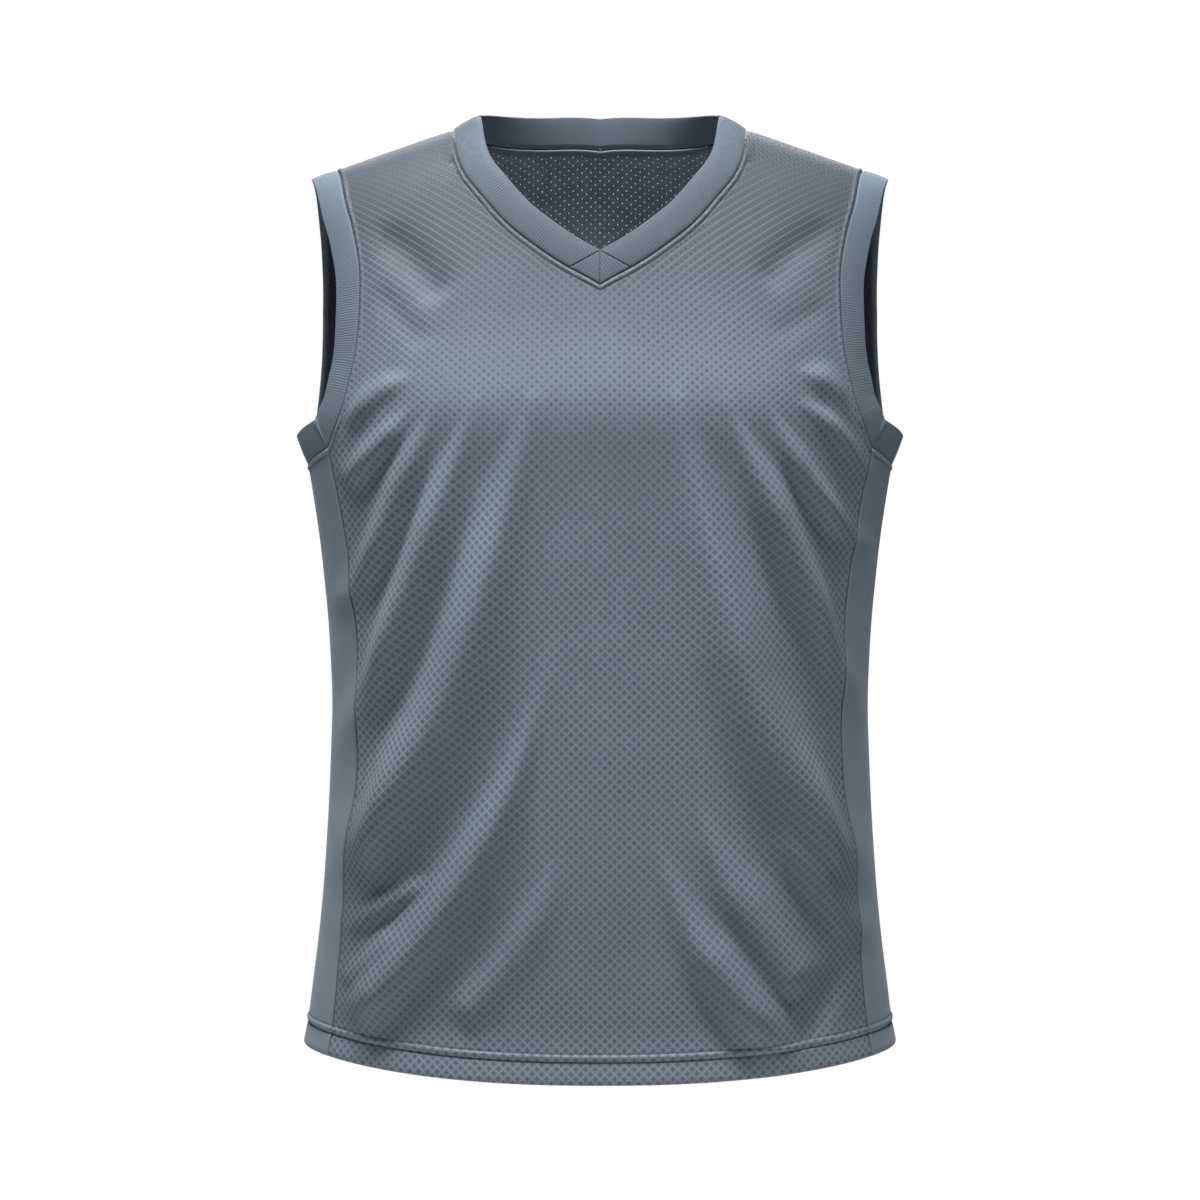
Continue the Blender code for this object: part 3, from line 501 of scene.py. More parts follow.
class Field:
    """A number that changes over a surface, on which arithmetic works."""
    __add__ = math_node("ADD")
    __radd__ = math_node("ADD", swapped=True)
    __sub__ = math_node("SUBTRACT")
    __rsub__ = math_node("SUBTRACT", swapped=True)
    __mul__ = math_node("MULTIPLY")
    __rmul__ = math_node("MULTIPLY", swapped=True)
    __truediv__ = math_node("DIVIDE")
    __pow__ = math_node("POWER")
    __abs__ = math_node("ABSOLUTE")
    greater = math_node("MAXIMUM")
    fraction = math_node("FRACT")
    cosine = math_node("COSINE")

    def __init__(self, finish, socket):
        self.finish = finish
        self.socket = socket

    def nearest_whole(self):
        """Signed distance from the nearest whole number."""
        return (self + 0.5).fraction() - 0.5

    def wave(self):
        """1 at whole numbers, -1 midway between them."""
        return (self * (2 * math.pi)).cosine()

    def between(self, low, high):
        """0 below low, 1 above high and smooth between."""
        return self.finish.node("ShaderNodeMapRange", {"interpolation_type": "SMOOTHSTEP"},
                                {"Value": self, "From Min": low, "From Max": high})


SHEEN_ROUGHNESS = 0.45


class Finish:
    """A material of one Principled shader, with what varies over the cloth fed into it."""

    def __init__(self, name, roughness, sheen, specular):
        self.material = bpy.data.materials.new(name)
        self.material.use_nodes = True
        self.tree = self.material.node_tree
        self.shader = self.tree.nodes["Principled BSDF"]
        self.shader.inputs["Roughness"].default_value = roughness
        self.shader.inputs["Sheen Weight"].default_value = sheen
        self.shader.inputs["Sheen Roughness"].default_value = SHEEN_ROUGHNESS
        self.shader.inputs["Specular IOR Level"].default_value = specular

    def node(self, kind, settings, sockets, output=0):
        """Any node: its settings first, then its sockets' values or links."""
        node = self.tree.nodes.new(kind)
        for setting, value in settings.items():
            setattr(node, setting, value)
        for socket, value in sockets.items():
            if isinstance(value, Field):
                self.tree.links.new(value.socket, node.inputs[socket])
            else:
                node.inputs[socket].default_value = value
        return Field(self, node.outputs[output])

    def cloth_place(self):
        """Metres across and up the flat cloth."""
        place = self.node("ShaderNodeUVMap", {"uv_map": "UVMap"}, {})
        return (self.node("ShaderNodeSeparateXYZ", {}, {"Vector": place}),
                self.node("ShaderNodeSeparateXYZ", {}, {"Vector": place}, 1))

    def noise(self, scale, detail=2.0):
        """Cloudy variation from 0 to 1 over the object, with scale features to the metre."""
        place = self.node("ShaderNodeTexCoord", {}, {}, "Object")
        return self.node("ShaderNodeTexNoise", {}, {"Vector": place, "Scale": scale, "Detail": detail})

    def height(self):
        """Height of each point, in metres."""
        place = self.node("ShaderNodeTexCoord", {}, {}, "Object")
        return self.node("ShaderNodeSeparateXYZ", {}, {"Vector": place}, 2)

    def mix(self, share, low, high):
        """Colour between low and high."""
        sockets = {"Factor": share, 6: low, 7: high}
        return self.node("ShaderNodeMix", {"data_type": "RGBA"}, sockets, 2)

    def feed(self, socket, field):
        self.tree.links.new(field.socket, self.shader.inputs[socket])

    def relief(self, height, depth):
        """A height from 0 to 1 felt as bumps of this depth."""
        bump = self.node("ShaderNodeBump", {}, {"Height": height, "Distance": depth, "Strength": 1.0})
        self.feed("Normal", bump)


CELL_WIDTH = 0.0070  # of the lattice of holes, with one more hole at each cell's centre
CELL_HEIGHT = 0.0068
STRETCH_ACROSS = 1.20  # a hole is this much narrower and that much taller than round
STRETCH_UP = 0.84
HOLE_EDGE = (0.00039, 0.00069)  # radii where a hole ends and where the cloth is closed
DIMPLE_EDGE = (0.00030, 0.00093)  # radii of the dimple round it, darkened as painted shade
UNEVEN = 0.0004  # how much a hole's radius varies
THREAD_EDGE = (0.40, 0.5)  # raised threads run midway between the rows of holes
FUZZ = 0.35  # how much of the light the yarns' fluff stops in a hole
# Tone weights: painted highlight on the threads (less on the chest), painted shade in the dimples, random
# yarn and cloud
MESH_TONE = {"ground": 0.43, "thread": 0.60, "chest": 0.45, "dimple": 0.52, "yarn": 0.40, "cloud": 0.16}
CHEST_FADE = (-0.32, -0.17)  # heights over which the painted highlight on the raised threads fades out towards the chest
# Painted shade: the cloth's colour is mixed towards a shade colour towards the shoulders and low down
SHOULDER_FADE, SHOULDER_SHADE = (-0.20, -0.01), 0.86
LOW_FADE, LOW_SHADE = (-0.60, -0.36), 0.26
HEM_FADE = (-0.676, -0.655)  # the painted shade low down stops at the turned hem
SINGLE_FADE = (-0.66, -0.62)  # below, the second layer closes the holes
MESH_RELIEF = 0.00032
MESH_DARK = (0.052, 0.073, 0.097, 1)
MESH_PALE = (0.300, 0.385, 0.466, 1)
# colour of the painted shade towards the shoulders and low down
MESH_SHADE = (0.045, 0.061, 0.079, 1)
# Inner face drawn much paler than the outer: painted light on the panels' inside seen through the neck
INSIDE_DARK = (0.170, 0.220, 0.270, 1)
INSIDE_PALE = (0.420, 0.510, 0.600, 1)
INSIDE_SHADE = (0.310, 0.390, 0.465, 1)


def pinhole_mesh(name, dark, pale, shaded):
    """Pinholes and threads with painted highlights and dimple shade, painted shade towards the shoulders and
    low down.
    """
    finish = Finish(name, roughness=0.52, sheen=0.10, specular=0.45)
    across, up = finish.cloth_place()
    rising = across / CELL_WIDTH + up / CELL_HEIGHT
    falling = across / CELL_WIDTH - up / CELL_HEIGHT
    from_rising = rising.nearest_whole()
    from_falling = falling.nearest_whole()
    beside = (from_rising + from_falling) * (CELL_WIDTH / 2 * STRETCH_ACROSS)
    above = (from_rising - from_falling) * (CELL_HEIGHT / 2 * STRETCH_UP)
    away = (beside * beside + above * above) ** 0.5
    reach = away + (finish.noise(150.0) - 0.5) * UNEVEN
    open_hole = 1 - reach.between(*HOLE_EDGE)
    dimple = 1 - reach.between(*DIMPLE_EDGE)
    thread = abs(from_rising).greater(abs(from_falling)).between(*THREAD_EDGE)
    yarn = finish.noise(1400.0, 1.0)
    cloud = finish.noise(22.0, 3.0)
    height = finish.height()
    # Painted shade by height: towards the shoulders, and low down except on the turned hem
    low = (1 - height.between(*LOW_FADE)) * height.between(*HEM_FADE)
    shade = height.between(*SHOULDER_FADE) * SHOULDER_SHADE + low * LOW_SHADE
    # Painted highlight on the raised threads, weaker on the chest, and painted shade in the dimples round
    # the holes
    thread_tone = MESH_TONE["thread"] - height.between(*CHEST_FADE) * MESH_TONE["chest"]
    tone = MESH_TONE["ground"] + thread * thread_tone - dimple * MESH_TONE["dimple"]
    tone = tone + (yarn - 0.5) * MESH_TONE["yarn"] + (cloud - 0.5) * MESH_TONE["cloud"]
    finish.feed("Base Color", finish.mix(shade, finish.mix(tone, dark, pale), shaded))
    finish.feed("Alpha", 1 - open_hole * height.between(*SINGLE_FADE) * (1 - FUZZ))
    finish.relief(thread * 0.6 + (1 - dimple) * 0.4 + yarn * 0.12, MESH_RELIEF)
    return finish.material


# Sewing: rows of thread hold the seam allowances down round the neck and armholes and the hem up, and dark
# thread in the grooves of the side seams is painted seam shadow. The thread is darker than the cloth, partly
# its own colour and partly painted shade of the sunk stitch lines.
STITCH_PITCH = 0.0024
STITCH_LENGTH = 0.0018
THREAD = 0.00042
STITCH_LINE = 0.0042  # from the neck and armhole seams
HEM_ROWS = (0.0168, 0.0226)
HEM_STATIONS = 240
HEM_SINK = 0.0007  # how deep the hem's rows lie
SEAM_SINK = 0.0004  # and the thread of the side seams
# thread darker than the cloth: partly its own colour, partly painted shade in the stitch lines
THREAD_DARK = (0.035, 0.049, 0.065, 1)
THREAD_PALE = (0.105, 0.138, 0.171, 1)

bpy.ops.object.select_all(action="DESELECT")
bpy.ops.mesh.primitive_uv_sphere_add(segments=6, ring_count=4, radius=0.5)
stitch = bpy.context.object
stitch_points = np.array([corner.co for corner in stitch.data.vertices])[:, [2, 0, 1]]
stitch_faces = [list(face.vertices) for face in stitch.data.polygons]
bpy.data.objects.remove(stitch)


def even_stations(points, facing, places):
    """Points and normals of a line at given lengths along it."""
    reach = arc_lengths(points)
    pick = [np.column_stack([np.interp(places, reach, column) for column in rows.T])
            for rows in (points, facing)]
    return pick[0], unit(pick[1])


def direction(points, facing, places, step, length=math.inf):
    """Unit vectors along a line, from a step behind each place to a step ahead."""
    ahead = even_stations(points, facing, np.minimum(places + step, length))[0]
    behind = even_stations(points, facing, np.maximum(places - step, 0))[0]
    return unit(ahead - behind)


def thread_finish():
    finish = Finish("thread", roughness=0.55, sheen=0.10, specular=0.4)
    twist = finish.noise(2600.0, 1.0)
    finish.feed("Base Color", finish.mix(0.3 + twist * 0.5, THREAD_DARK, THREAD_PALE))
    return finish.material


def cloth_line(form, p, h, inward=0.0, sink=0.0):
    """Points and normals of a line on the cloth, shifted across the cloth and into it."""
    points = form(p, h)
    facing = normals(form, p, h)
    beside = unit(np.cross(facing, np.gradient(points, axis=0)))
    return points + inward * beside - sink * facing, facing


def stitches(name, lines, finish):
    """Stitches end to end along the lines: each is a short length of thread whose ends dip in."""
    corners = []
    for points, facing in lines:
        places = np.arange(STITCH_PITCH / 2, arc_lengths(points)[-1], STITCH_PITCH)
        centre, normal = even_stations(points, facing, places)
        along = direction(points, facing, places, STITCH_LENGTH / 2)
        beside = unit(np.cross(normal, along))
        axes = np.stack([along * STITCH_LENGTH, beside * THREAD, normal * THREAD], axis=1)
        corners.append(centre[:, None] + np.einsum("vi,sij->svj", stitch_points, axes))
    corners = np.vstack(corners)
    faces = [[corner + index * len(stitch_points) for corner in face]
             for index in range(len(corners)) for face in stitch_faces]
    mesh = bpy.data.meshes.new(name)
    mesh.from_pydata(corners.reshape(-1, 3).tolist(), [], faces)
    mesh.shade_smooth()
    mesh.materials.append(finish)
    piece = bpy.data.objects.new(name, mesh)
    scene.collection.objects.link(piece)
    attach(piece, "root")
    return piece


top = CHEST + YOKE
v_point = (0.0, float(cloth_height(0.0, FRONT_NECK_DEPTH)))
neck_back = (0.0, float(cloth_height(0.0, BACK_NECK_DEPTH)))
neck_side = (NECK_SIDE, top)
shoulder_tip = (SHOULDER_TIP, top)
side_top = (float(side_seam_x(SIDE_TOP)), SIDE_TOP)
front_neckline = seam_path(FRONT_NECKLINE, v_point, neck_side)
back_neckline = seam_path(BACK_NECKLINE, neck_back, neck_side)
front_armhole = seam_path(FRONT_ARMHOLE, side_top, shoulder_tip)
back_armhole = seam_path(BACK_ARMHOLE, side_top, shoulder_tip)


def both_halves(half):
    """A path or grid outward from the centre, with its mirror image before it."""
    return np.vstack([half[:0:-1] * (-1, 1), half])


def body_panel(name, facing, dip, neckline, armhole, finishes, thread):
    """One panel with its hem, its sewn edges and its place on the flat cloth, and its stitches."""
    p, h = np.moveaxis(both_halves(half_panel(dip, neckline, armhole)), -1, 0)
    form = draped(panel_form(facing))
    points = form(p, h)
    outward = normals(form, p, h)
    places = flat_places(panel_form(facing), p, h)
    plain_edges = [points[0], points[-1], points[:, -1]]
    stitched_edges = [form(side * path[:, 0], path[:, 1])
                      for path in (neckline, armhole) for side in (1, -1)]
    lift = np.interp(h - h[:, :1], HEM_EDGE["away"], HEM_EDGE["lift"])
    plain = np.min([distance_to(edge[::4], points) for edge in plain_edges], axis=0)
    stitched = np.min([distance_to(edge, points) for edge in stitched_edges], axis=0)
    seam = np.interp(stitched, STITCHED_SEAM["away"], STITCHED_SEAM["lift"])
    side = np.interp(plain, PLAIN_SEAM["away"], PLAIN_SEAM["lift"])
    lift = lift + np.where(stitched < STITCHED_SEAM["away"][-1], seam, side)
    hem = np.linspace(-1, 1, HEM_STATIONS) * side_seam_x(HEM_SIDE)
    lines = [cloth_line(form, hem, hem_height(hem, dip) + above, sink=HEM_SINK) for above in HEM_ROWS]
    lines.append(cloth_line(form, *both_halves(neckline).T, inward=-STITCH_LINE))
    lines += [cloth_line(form, side * armhole[:, 0], armhole[:, 1], inward=side * STITCH_LINE)
              for side in (1, -1)]
    panel = shell(f"{name}_cloth", points + lift[..., None] * outward, places, finishes)
    return panel, stitches(f"{name}_stitches", lines, thread)


thread = thread_finish()
# the inner face's finish is a paler copy of the outer one: painted light
mesh_finish = (pinhole_mesh("pinhole_mesh", MESH_DARK, MESH_PALE, MESH_SHADE),
               pinhole_mesh("pinhole_mesh_inside_painted_light", INSIDE_DARK, INSIDE_PALE, INSIDE_SHADE))
front, front_stitches = body_panel("front", -1, FRONT_DIP, front_neckline, front_armhole,
                                   mesh_finish, thread)
back, back_stitches = body_panel("back", 1, BACK_DIP, back_neckline, back_armhole,
                                 mesh_finish, thread)
for panel, node in ((front, "front"), (back, "back")):
    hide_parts(node)


# Side panels: a strip of plain fine knit under each arm, sewn to the front and the back with a plain seam
# and turned up at the hem with them. It carries only a few faint creases.
SIDE_COLUMNS = 22
SIDE_REACH = 0.066  # from the middle of a side panel to its seam
SIDE_STEPS = np.array((0, 0.0007, 0.0016, 0.003, 0.0045)) / SIDE_REACH
WALE = 0.0011  # pitch of the knit's columns of loops
KNIT_DARK = (0.130, 0.178, 0.228, 1)
KNIT_PALE = (0.270, 0.352, 0.430, 1)


def side_form(hand):
    """Side under the wearer's left arm (hand +1) or right arm (-1)."""
    def form(p, h):
        y = hand * p
        depth = np.where(y < 0, torso("front_depth", h), torso("back_depth", h))
        x = hand * superellipse(y, depth, torso("half_width", h))
        return np.stack([x, y, h + 0 * p], axis=-1)
    return form


def side_place(share, middle, front_seam, back_seam):
    """Places p on the left side panel and heights, from the front seam (share -1) to the back one (1)."""
    seam_rows = np.where(share < 0, front_seam, back_seam)
    z = middle + (seam_rows - middle) * share ** 2
    depth = np.where(share < 0, torso("front_depth", z), torso("back_depth", z))
    return share * superellipse(side_seam_x(z), torso("half_width", z), depth), z


def side_rows(hem, top):
    """Heights of a side panel's rows from the hem to the armhole."""
    steps = hem + np.array(HEM_STEPS)
    edge = top - np.array(EDGE_STEPS)
    return np.concatenate([steps, np.linspace(steps[-1], edge[0], BODY_ROWS)[1:-1], edge])


def plain_knit():
    """Columns and rows of fine loops, with yarn that varies."""
    finish = Finish("plain_knit", roughness=0.60, sheen=0.16, specular=0.35)
    across, up = finish.cloth_place()
    yarn = finish.noise(1600.0, 1.0)
    wale = (across / WALE).wave() * 0.5 + 0.5
    course = (up / WALE).wave() * 0.5 + 0.5
    knit = wale * 0.7 + course * 0.15 + yarn * 0.6
    cloud = finish.noise(26.0, 3.0)
    tone = 0.42 + (knit - 0.6) * 0.22 + (cloud - 0.5) * 0.30
    finish.feed("Base Color", finish.mix(tone, KNIT_DARK, KNIT_PALE))
    finish.relief(knit, 0.00012)
    return finish.material


def side_panel(side, hand, finishes):
    """The strip under one arm and its stitches."""
    inner = np.linspace(-1 + SIDE_STEPS[-1], 1 - SIDE_STEPS[-1], SIDE_COLUMNS)[1:-1]
    share = np.concatenate([-1 + SIDE_STEPS, inner, 1 - SIDE_STEPS[::-1]])[:, None]
    front_rows = side_rows(hem_height(side_seam_x(HEM_SIDE), FRONT_DIP), SIDE_TOP)
    back_rows = side_rows(hem_height(side_seam_x(HEM_SIDE), BACK_DIP), SIDE_TOP)
    y, h = side_place(share, side_rows(HEM_SIDE, UNDERARM), front_rows, back_rows)
    p = hand * y
    if hand < 0:
        p, h = p[::-1], h[::-1]
    form = draped(side_form(hand))
    points = form(p, h)
    to_seam = np.min([distance_to(edge[::4], points) for edge in (points[0], points[-1])], axis=0)
    to_armhole = distance_to(points[:, -1], points)
    lift = np.interp(h - h[:, :1], HEM_EDGE["away"], HEM_EDGE["lift"])
    lift = lift + np.interp(to_seam, PLAIN_SEAM["away"], PLAIN_SEAM["lift"])
    lift = lift + np.interp(to_armhole, STITCHED_SEAM["away"], STITCHED_SEAM["lift"])
    points = points + lift[..., None] * normals(form, p, h)
    # dark thread along both seams' grooves: painted seam shadow
    lines = [cloth_line(form, p[column], h[column], sink=SEAM_SINK) for column in (0, -1)]
    lines += [cloth_line(form, p[:, 0], h[:, 0] + above, sink=HEM_SINK) for above in HEM_ROWS]
    lines.append(cloth_line(form, p[:, -1], h[:, -1], inward=-STITCH_LINE))
    panel = shell(f"side_cloth_{side}", points, flat_places(side_form(hand), p, h), finishes)
    return panel, stitches(f"side_stitches_{side}", lines, thread)


knit_finish = (plain_knit(),)
for hand, side in ((1, "left"), (-1, "right")):
    panel, side_stitches = side_panel(side, hand, knit_finish)
    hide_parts(f"side_{side}")


# Armhole bands: a strip of plain knit folded lengthwise, its two raw edges sewn into the armhole. The
# fold is the free edge, and fine ribs cross the band.
BAND_WALL = 0.0016
BAND_SHEET = 0.0006
ARMBAND = table(  # round counts from the shoulder seam down the front and up the back
    "round lean width",
    (0.00, 0, 0.0205),
    (0.15, -6, 0.0225),
    (0.30, -9, 0.0235),
    (0.42, 0, 0.0245),
    (0.52, 14, 0.0255),
    (0.62, 12, 0.0250),
    (0.80, 16, 0.0240),
    (1.00, 0, 0.0205))
ARMBAND_STATIONS = 300
BAND_CROWN = 0.0006  # how far a band swells between its seam and its fold
SEAM_ROLL = 0.0016  # width over which a band's sewn edge rolls in
ROLL_DEPTH = 0.0010
SLANT_ROLL = 0.35  # share of it at the neckband's slanted ends
OUTER_ROWS = (0, 0.02, 0.045, 0.075, 0.13, 0.22, 0.34, 0.46, 0.58, 0.70, 0.81, 0.90, 0.96, 1)
FOLD_ANGLES = (30, 60, 90, 120, 150)
INNER_ROWS = (1, 0.9, 0.75, 0.55, 0.35, 0.15, 0)
SIDE_STATIONS = 60  # of an armhole's seam along the side panel
RIB_RISE, RIB_DELAY, RIB_FALL = 8, 0.2, 5  # of a rib, at the seam and at the fold
INNER_RISE = 6
BAND_PITCH = 0.0020  # of the fine ribs
BAND_INNER = 0.026  # metres round the section where the inner face begins
INNER_FADE = 0.005
# Painted shade: a dark line in the groove where a band is sewn on, and darker grooves between the ribs
SEAM_SHADE_EDGE = (0.0003, 0.0015)
BAND_TONE = {"ground": 0.24, "rib": 0.30, "yarn": 0.24, "cloud": 0.25, "sewn": 0.35}
BAND_RELIEF = 0.00022
BAND_DARK = (0.098, 0.134, 0.172, 1)
BAND_PALE = (0.215, 0.281, 0.346, 1)
# painted shade on the armhole bands' inner face
BAND_INSIDE_SHADE = (0.030, 0.040, 0.052, 1)


def across_band(facing, along, lean):
    """Unit vectors across a band to its free edge, leaning outward by some degrees."""
    lean = np.radians(lean)[:, None]
    return np.cos(lean) * unit(np.cross(facing, along)) + np.sin(lean) * facing


def folded_band(seam, facing, along, outward, width, start, rib_lift):
    """Points of a strip folded lengthwise: out along its face, round the fold and back inside. Start is
    the share of the width at which each column begins, and rib_lift raises both faces."""
    radius = BAND_WALL / 2
    far_facing = unit(np.cross(along, outward))
    reach = (width - radius)[:, None]
    outer = start[:, None] + (1 - start[:, None]) * np.array(OUTER_ROWS)
    inner = start[:, None] + (1 - start[:, None]) * np.array(INNER_ROWS)
    roll = np.clip(1 - (outer - start[:, None]) * reach / SEAM_ROLL, 0, 1) ** 2
    roll = np.where(start[:, None] > 0, SLANT_ROLL, 1) * roll
    fade = smoothstep(outer * RIB_RISE - RIB_DELAY) * smoothstep((1 - outer) * RIB_FALL)
    outer_lift = BAND_CROWN * np.sin(math.pi * outer) - ROLL_DEPTH * roll + rib_lift[:, None] * fade
    inner_fade = smoothstep(inner * INNER_RISE) * smoothstep((1 - inner) * RIB_FALL)
    inner_lift = -BAND_WALL - rib_lift[:, None] * inner_fade
    angles = np.radians(FOLD_ANGLES) + 0 * reach
    out = np.hstack([outer * reach, reach + radius * np.sin(angles), inner * reach])
    lift = np.hstack([outer_lift, radius * (np.cos(angles) - 1), inner_lift])
    share = np.clip(out / width[:, None], 0, 1)[..., None]
    normal = unit(facing[:, None] + share * (far_facing - facing)[:, None])
    return seam[:, None] + out[..., None] * outward[:, None] + lift[..., None] * normal


def strip_places(points, along, begin=0.0):
    """Places on a flat strip: metres along its seam, and metres round its section from where it begins."""
    across = np.linalg.norm(np.diff(points, axis=1), axis=-1)
    across = np.hstack([np.zeros((len(points), 1)), np.cumsum(across, axis=1)])
    across = across + np.reshape(begin, (-1, 1))
    return np.stack([along[:, None] + 0 * across, across], axis=-1)


def armhole_seam(hand):
    """Points and outward normals of an armhole's seam, from the shoulder down the front and up the back."""
    share = np.linspace(-1, 1, SIDE_STATIONS)
    side_y, side_z = side_place(share, UNDERARM, SIDE_TOP, SIDE_TOP)
    runs = ((draped(panel_form(-1)), hand * front_armhole[::-1, 0], front_armhole[::-1, 1]),
            (draped(side_form(hand)), hand * side_y[1:-1], side_z[1:-1]),
            (draped(panel_form(1)), -hand * back_armhole[:, 0], back_armhole[:, 1]))
    points = np.vstack([form(p, h) for form, p, h in runs])
    facing = np.vstack([normals(form, p, h) for form, p, h in runs])
    return points, facing


def band_knit(name, pitch, dark, pale, inside, width):
    """Ribs and a seam line darkened as painted shade; inner face in painted shade on armbands, painted light
    on the neckband.
    """
    finish = Finish(name, roughness=0.62, sheen=0.16, specular=0.32)
    along, across = finish.cloth_place()
    yarn = finish.noise(1500.0, 1.0)
    waver = finish.noise(160.0, 1.0)
    rib = (along / pitch + waver * 0.9).wave() * 0.5 + 0.5
    cloud = finish.noise(30.0, 3.0)
    # Painted shade between the ribs and in the groove along the seam
    sewn = 1 - across.between(*SEAM_SHADE_EDGE)
    tone = BAND_TONE["ground"] + rib * BAND_TONE["rib"] - sewn * BAND_TONE["sewn"]
    tone = tone + (yarn - 0.5) * BAND_TONE["yarn"] + (cloud - 0.5) * BAND_TONE["cloud"]
    # Inner face in the inside colour: painted shade on the armbands, painted light on the neckband
    inner_face_light_and_shade = across.between(width, width + INNER_FADE)
    finish.feed("Base Color", finish.mix(inner_face_light_and_shade, finish.mix(tone, dark, pale), inside))
    finish.relief(yarn * 0.4 + rib * 0.6, BAND_RELIEF)
    return finish.material


band_finish = (band_knit("band_knit", BAND_PITCH, BAND_DARK, BAND_PALE, BAND_INSIDE_SHADE, BAND_INNER),)
for hand, side in ((1, "left"), (-1, "right")):
    points, facing = armhole_seam(hand)
    length = arc_lengths(points)[-1]
    stations = np.linspace(0, length, ARMBAND_STATIONS, endpoint=False)
    seam, facing = even_stations(points, facing, stations)
    round_share = stations / length
    if hand < 0:
        seam, facing, round_share = seam[::-1], facing[::-1], round_share[::-1]
    lean = np.interp(round_share, ARMBAND["round"], ARMBAND["lean"])
    width = np.interp(round_share, ARMBAND["round"], ARMBAND["width"])
    along = unit(np.roll(seam, -1, axis=0) - np.roll(seam, 1, axis=0))
    outward = across_band(facing, along, lean)
    band = folded_band(seam, facing, along, outward, width, 0 * width, 0 * width)
    band = np.vstack([band, band[:1]])
    places = strip_places(band, np.append(stations, length))
    armband = shell(f"armband_cloth_{side}", band, places, band_finish, BAND_SHEET, ring=True)
    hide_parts(f"armband_{side}")


# Neckband: a strip of rib knit folded lengthwise like the armhole bands. It runs from one side of the V
# round the back of the neck to the other, and its ribs stand straight across it.
NECKBAND_WIDTH = 0.0230
NECKBAND = table(
    "depth lean",
    (-0.115, 0), (-0.050, 4), (0.000, 10), (0.050, 25))
GUSSET_REACH = 0.0228  # from the V's point to where the neckband starts, measured across
RIB_PITCH = 0.0021
RIB_HEIGHT = 0.00045
COLUMNS_A_RIB = 4
NECK_STEP = 0.004  # either way, for the band's direction
SLANT_GAP = 0.0004  # between the V's point and the first rib
LAST_START = 0.985  # share of the width where the slanted end starts at its tip
NEAR_V = 60  # points of the neck's path that surely hold the slanted end
V_STRAIGHT = 8  # and those that run straight from the V's point
RIB_DARK = (0.068, 0.094, 0.122, 1)
RIB_PALE = (0.155, 0.203, 0.250, 1)
# painted light on the neckband's inner face, paler than its outer face
RIB_INSIDE_LIGHT = (0.205, 0.268, 0.330, 1)

front_form, back_form = draped(panel_form(-1)), draped(panel_form(1))
neck_runs = [(front_form, front_neckline), (back_form, back_neckline[::-1] * (-1, 1)),
             (back_form, back_neckline[1:]), (front_form, front_neckline[::-1] * (-1, 1))]
neck_points = np.vstack([form(*path.T)[:-1] for form, path in neck_runs])
neck_facing = np.vstack([normals(form, *path.T)[:-1] for form, path in neck_runs])
neck_points = np.vstack([neck_points, neck_points[:1]])
neck_facing = np.vstack([neck_facing, neck_facing[:1] * (-1, 1, 1)])
neck_length = arc_lengths(neck_points)[-1]
gusset_end = float(np.interp(GUSSET_REACH, neck_points[:NEAR_V, 0], arc_lengths(neck_points[:NEAR_V])))
v_along = unit(neck_points[V_STRAIGHT] - neck_points[0])
half_angle = math.acos(float(v_along[2]) / float(np.hypot(v_along[0], v_along[2])))
apex_foot = NECKBAND_WIDTH / math.tan(half_angle)
first = apex_foot + SLANT_GAP
stations = np.arange(first, neck_length - apex_foot - SLANT_GAP, RIB_PITCH / COLUMNS_A_RIB)
seam, facing = even_stations(neck_points, neck_facing, stations)
along = direction(neck_points, neck_facing, stations, NECK_STEP, neck_length)
lean = np.interp(seam[:, 1], NECKBAND["depth"], NECKBAND["lean"])
outward = across_band(facing, along, lean)
from_v = np.minimum(stations, neck_length - stations)
start = np.clip((gusset_end - from_v) / (gusset_end - apex_foot), 0, LAST_START)
rib_lift = RIB_HEIGHT * (0.5 + 0.5 * np.cos(2 * math.pi * stations / RIB_PITCH))
width = np.full(len(stations), NECKBAND_WIDTH)
band = folded_band(seam, facing, along, outward, width, start, rib_lift)
rib_finish = (band_knit("rib_knit", RIB_PITCH, RIB_DARK, RIB_PALE, RIB_INSIDE_LIGHT, NECKBAND_WIDTH),)
band_places = strip_places(band, stations, start * NECKBAND_WIDTH)
neckband = shell("neckband_cloth", band, band_places, rib_finish, BAND_SHEET)
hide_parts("neckband")


# V inserts: two small triangles of the same rib knit fill the V below the neckband's slanted ends. They
# meet in a seam down the middle.
INSERT_COLUMNS = 18
INSERT_ROWS = 16
INSERT_WALL = 0.0013
INSERT_SEAM = table(
    "away lift",
    (0.0000, -0.0005), (0.0006, -0.0001), (0.0012, 0.0000))

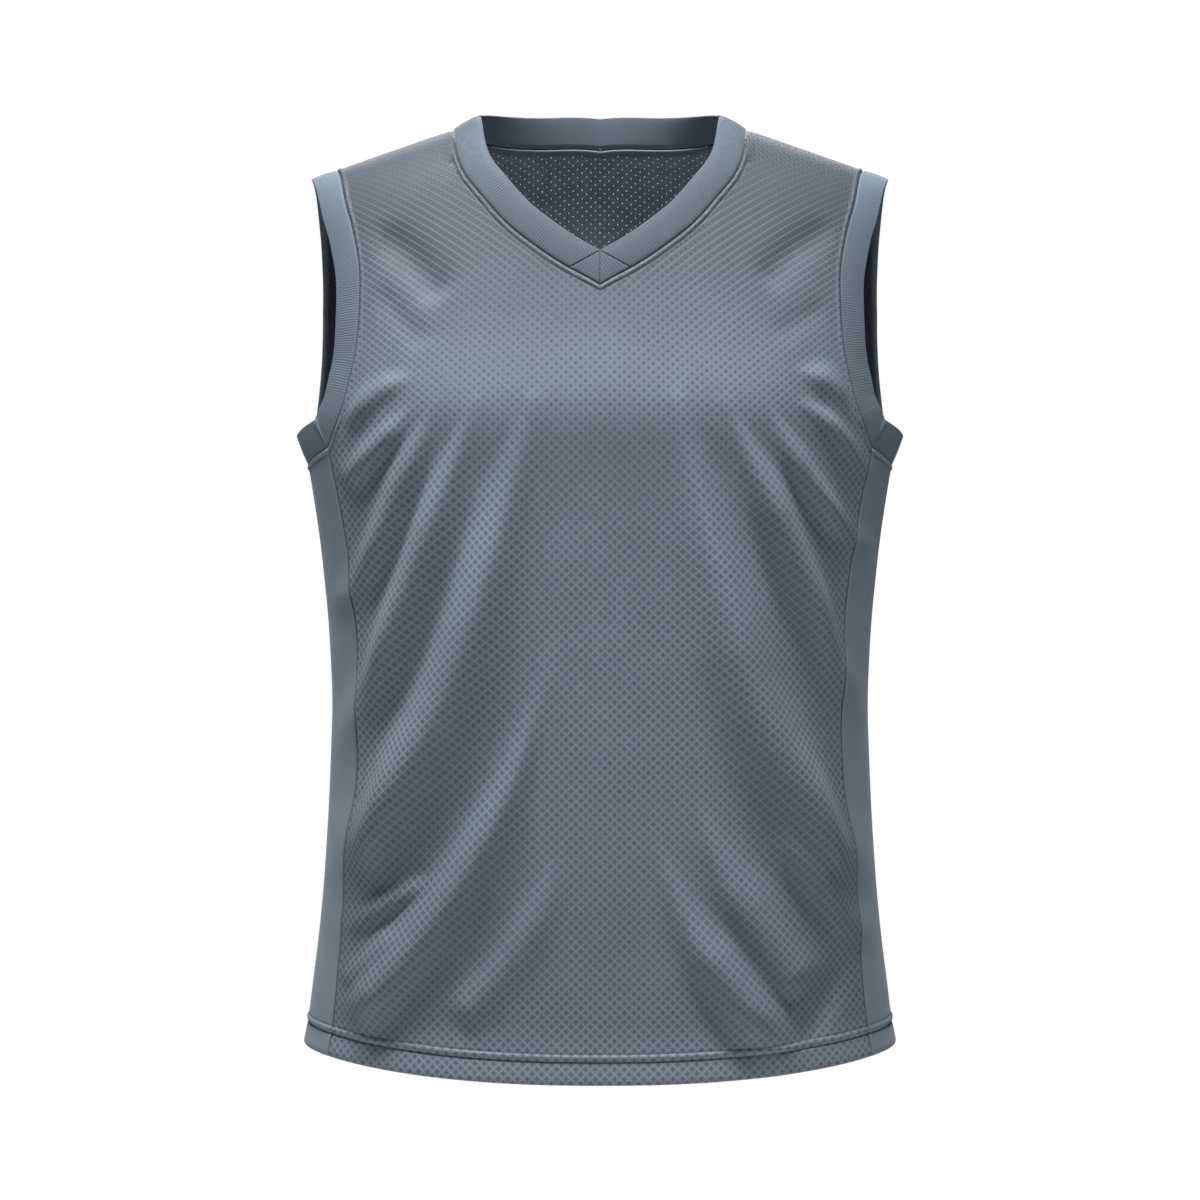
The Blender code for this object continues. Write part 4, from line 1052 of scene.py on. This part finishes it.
apex = neck_points[0] + unit(np.array([0.0, neck_facing[0, 2], -neck_facing[0, 1]])) * (
    NECKBAND_WIDTH / math.sin(half_angle))
rib_slant = np.linspace(0, 1, INSERT_COLUMNS)
right_slant = neck_length - (1 - rib_slant) * gusset_end
for hand, side, lengths in ((1, "left", rib_slant * gusset_end), (-1, "right", right_slant)):
    seam, facing = even_stations(neck_points, neck_facing, lengths)
    rise = np.linspace(0, 1, INSERT_ROWS)[:, None]
    points = seam[:, None] + rise * (apex - seam)[:, None]
    edges = [points[0], points[-1], points[:, 0]]
    near = np.min([distance_to(edge, points) for edge in edges], axis=0)
    along = v_along * (hand, 1, 1)
    upward = hand * unit(np.cross(facing[0], along))
    places = np.stack([(points - neck_points[0]) @ along, (points - neck_points[0]) @ upward], axis=-1)
    crown = BAND_CROWN * np.sin(math.pi * np.clip(places[..., 1] / NECKBAND_WIDTH, 0, 1))
    lift = np.interp(near, INSERT_SEAM["away"], INSERT_SEAM["lift"]) + crown
    points = points + lift[..., None] * facing[:, None]
    insert = shell(f"v_insert_{side}", points, places, rib_finish, INSERT_WALL, ring=True)
    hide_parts(f"v_gusset_{side}")


# Back neck tape: a narrow strip of plain knit sewn flat over the back neck seam, inside, from one side of
# the neck to the other, so that the seam doesn't rub. Its middle swells over the seam's allowance.
TAPE_WIDTH = 0.0055
TAPE_OFFSET = 0.0008
TAPE_DEPTH = 0.0025  # behind the panel's outer face
TAPE_CROWN = 0.0009
CROWN_POWER = 0.7
TAPE_SHEET = 0.0005
TAPE_SPAN = (0.004, 0.996)  # shares of the back neckline
TAPE_COLUMNS = 120
TAPE_ROWS = 9

tape_line = points_along(both_halves(back_neckline), np.linspace(*TAPE_SPAN, TAPE_COLUMNS))
seam = back_form(*tape_line.T)
facing = normals(back_form, *tape_line.T)
up = unit(np.cross(facing, unit(np.gradient(seam, axis=0))))
across = np.linspace(0, 1, TAPE_ROWS)
crown = TAPE_DEPTH + TAPE_CROWN * np.sin(math.pi * across) ** CROWN_POWER
below = TAPE_OFFSET + across * TAPE_WIDTH
points = seam[:, None] - below[:, None] * up[:, None] - crown[:, None] * facing[:, None]
places = strip_places(points, arc_lengths(seam))
tape = shell("back_neck_tape_cloth", points, places, knit_finish, TAPE_SHEET)
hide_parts("back_neck_tape")
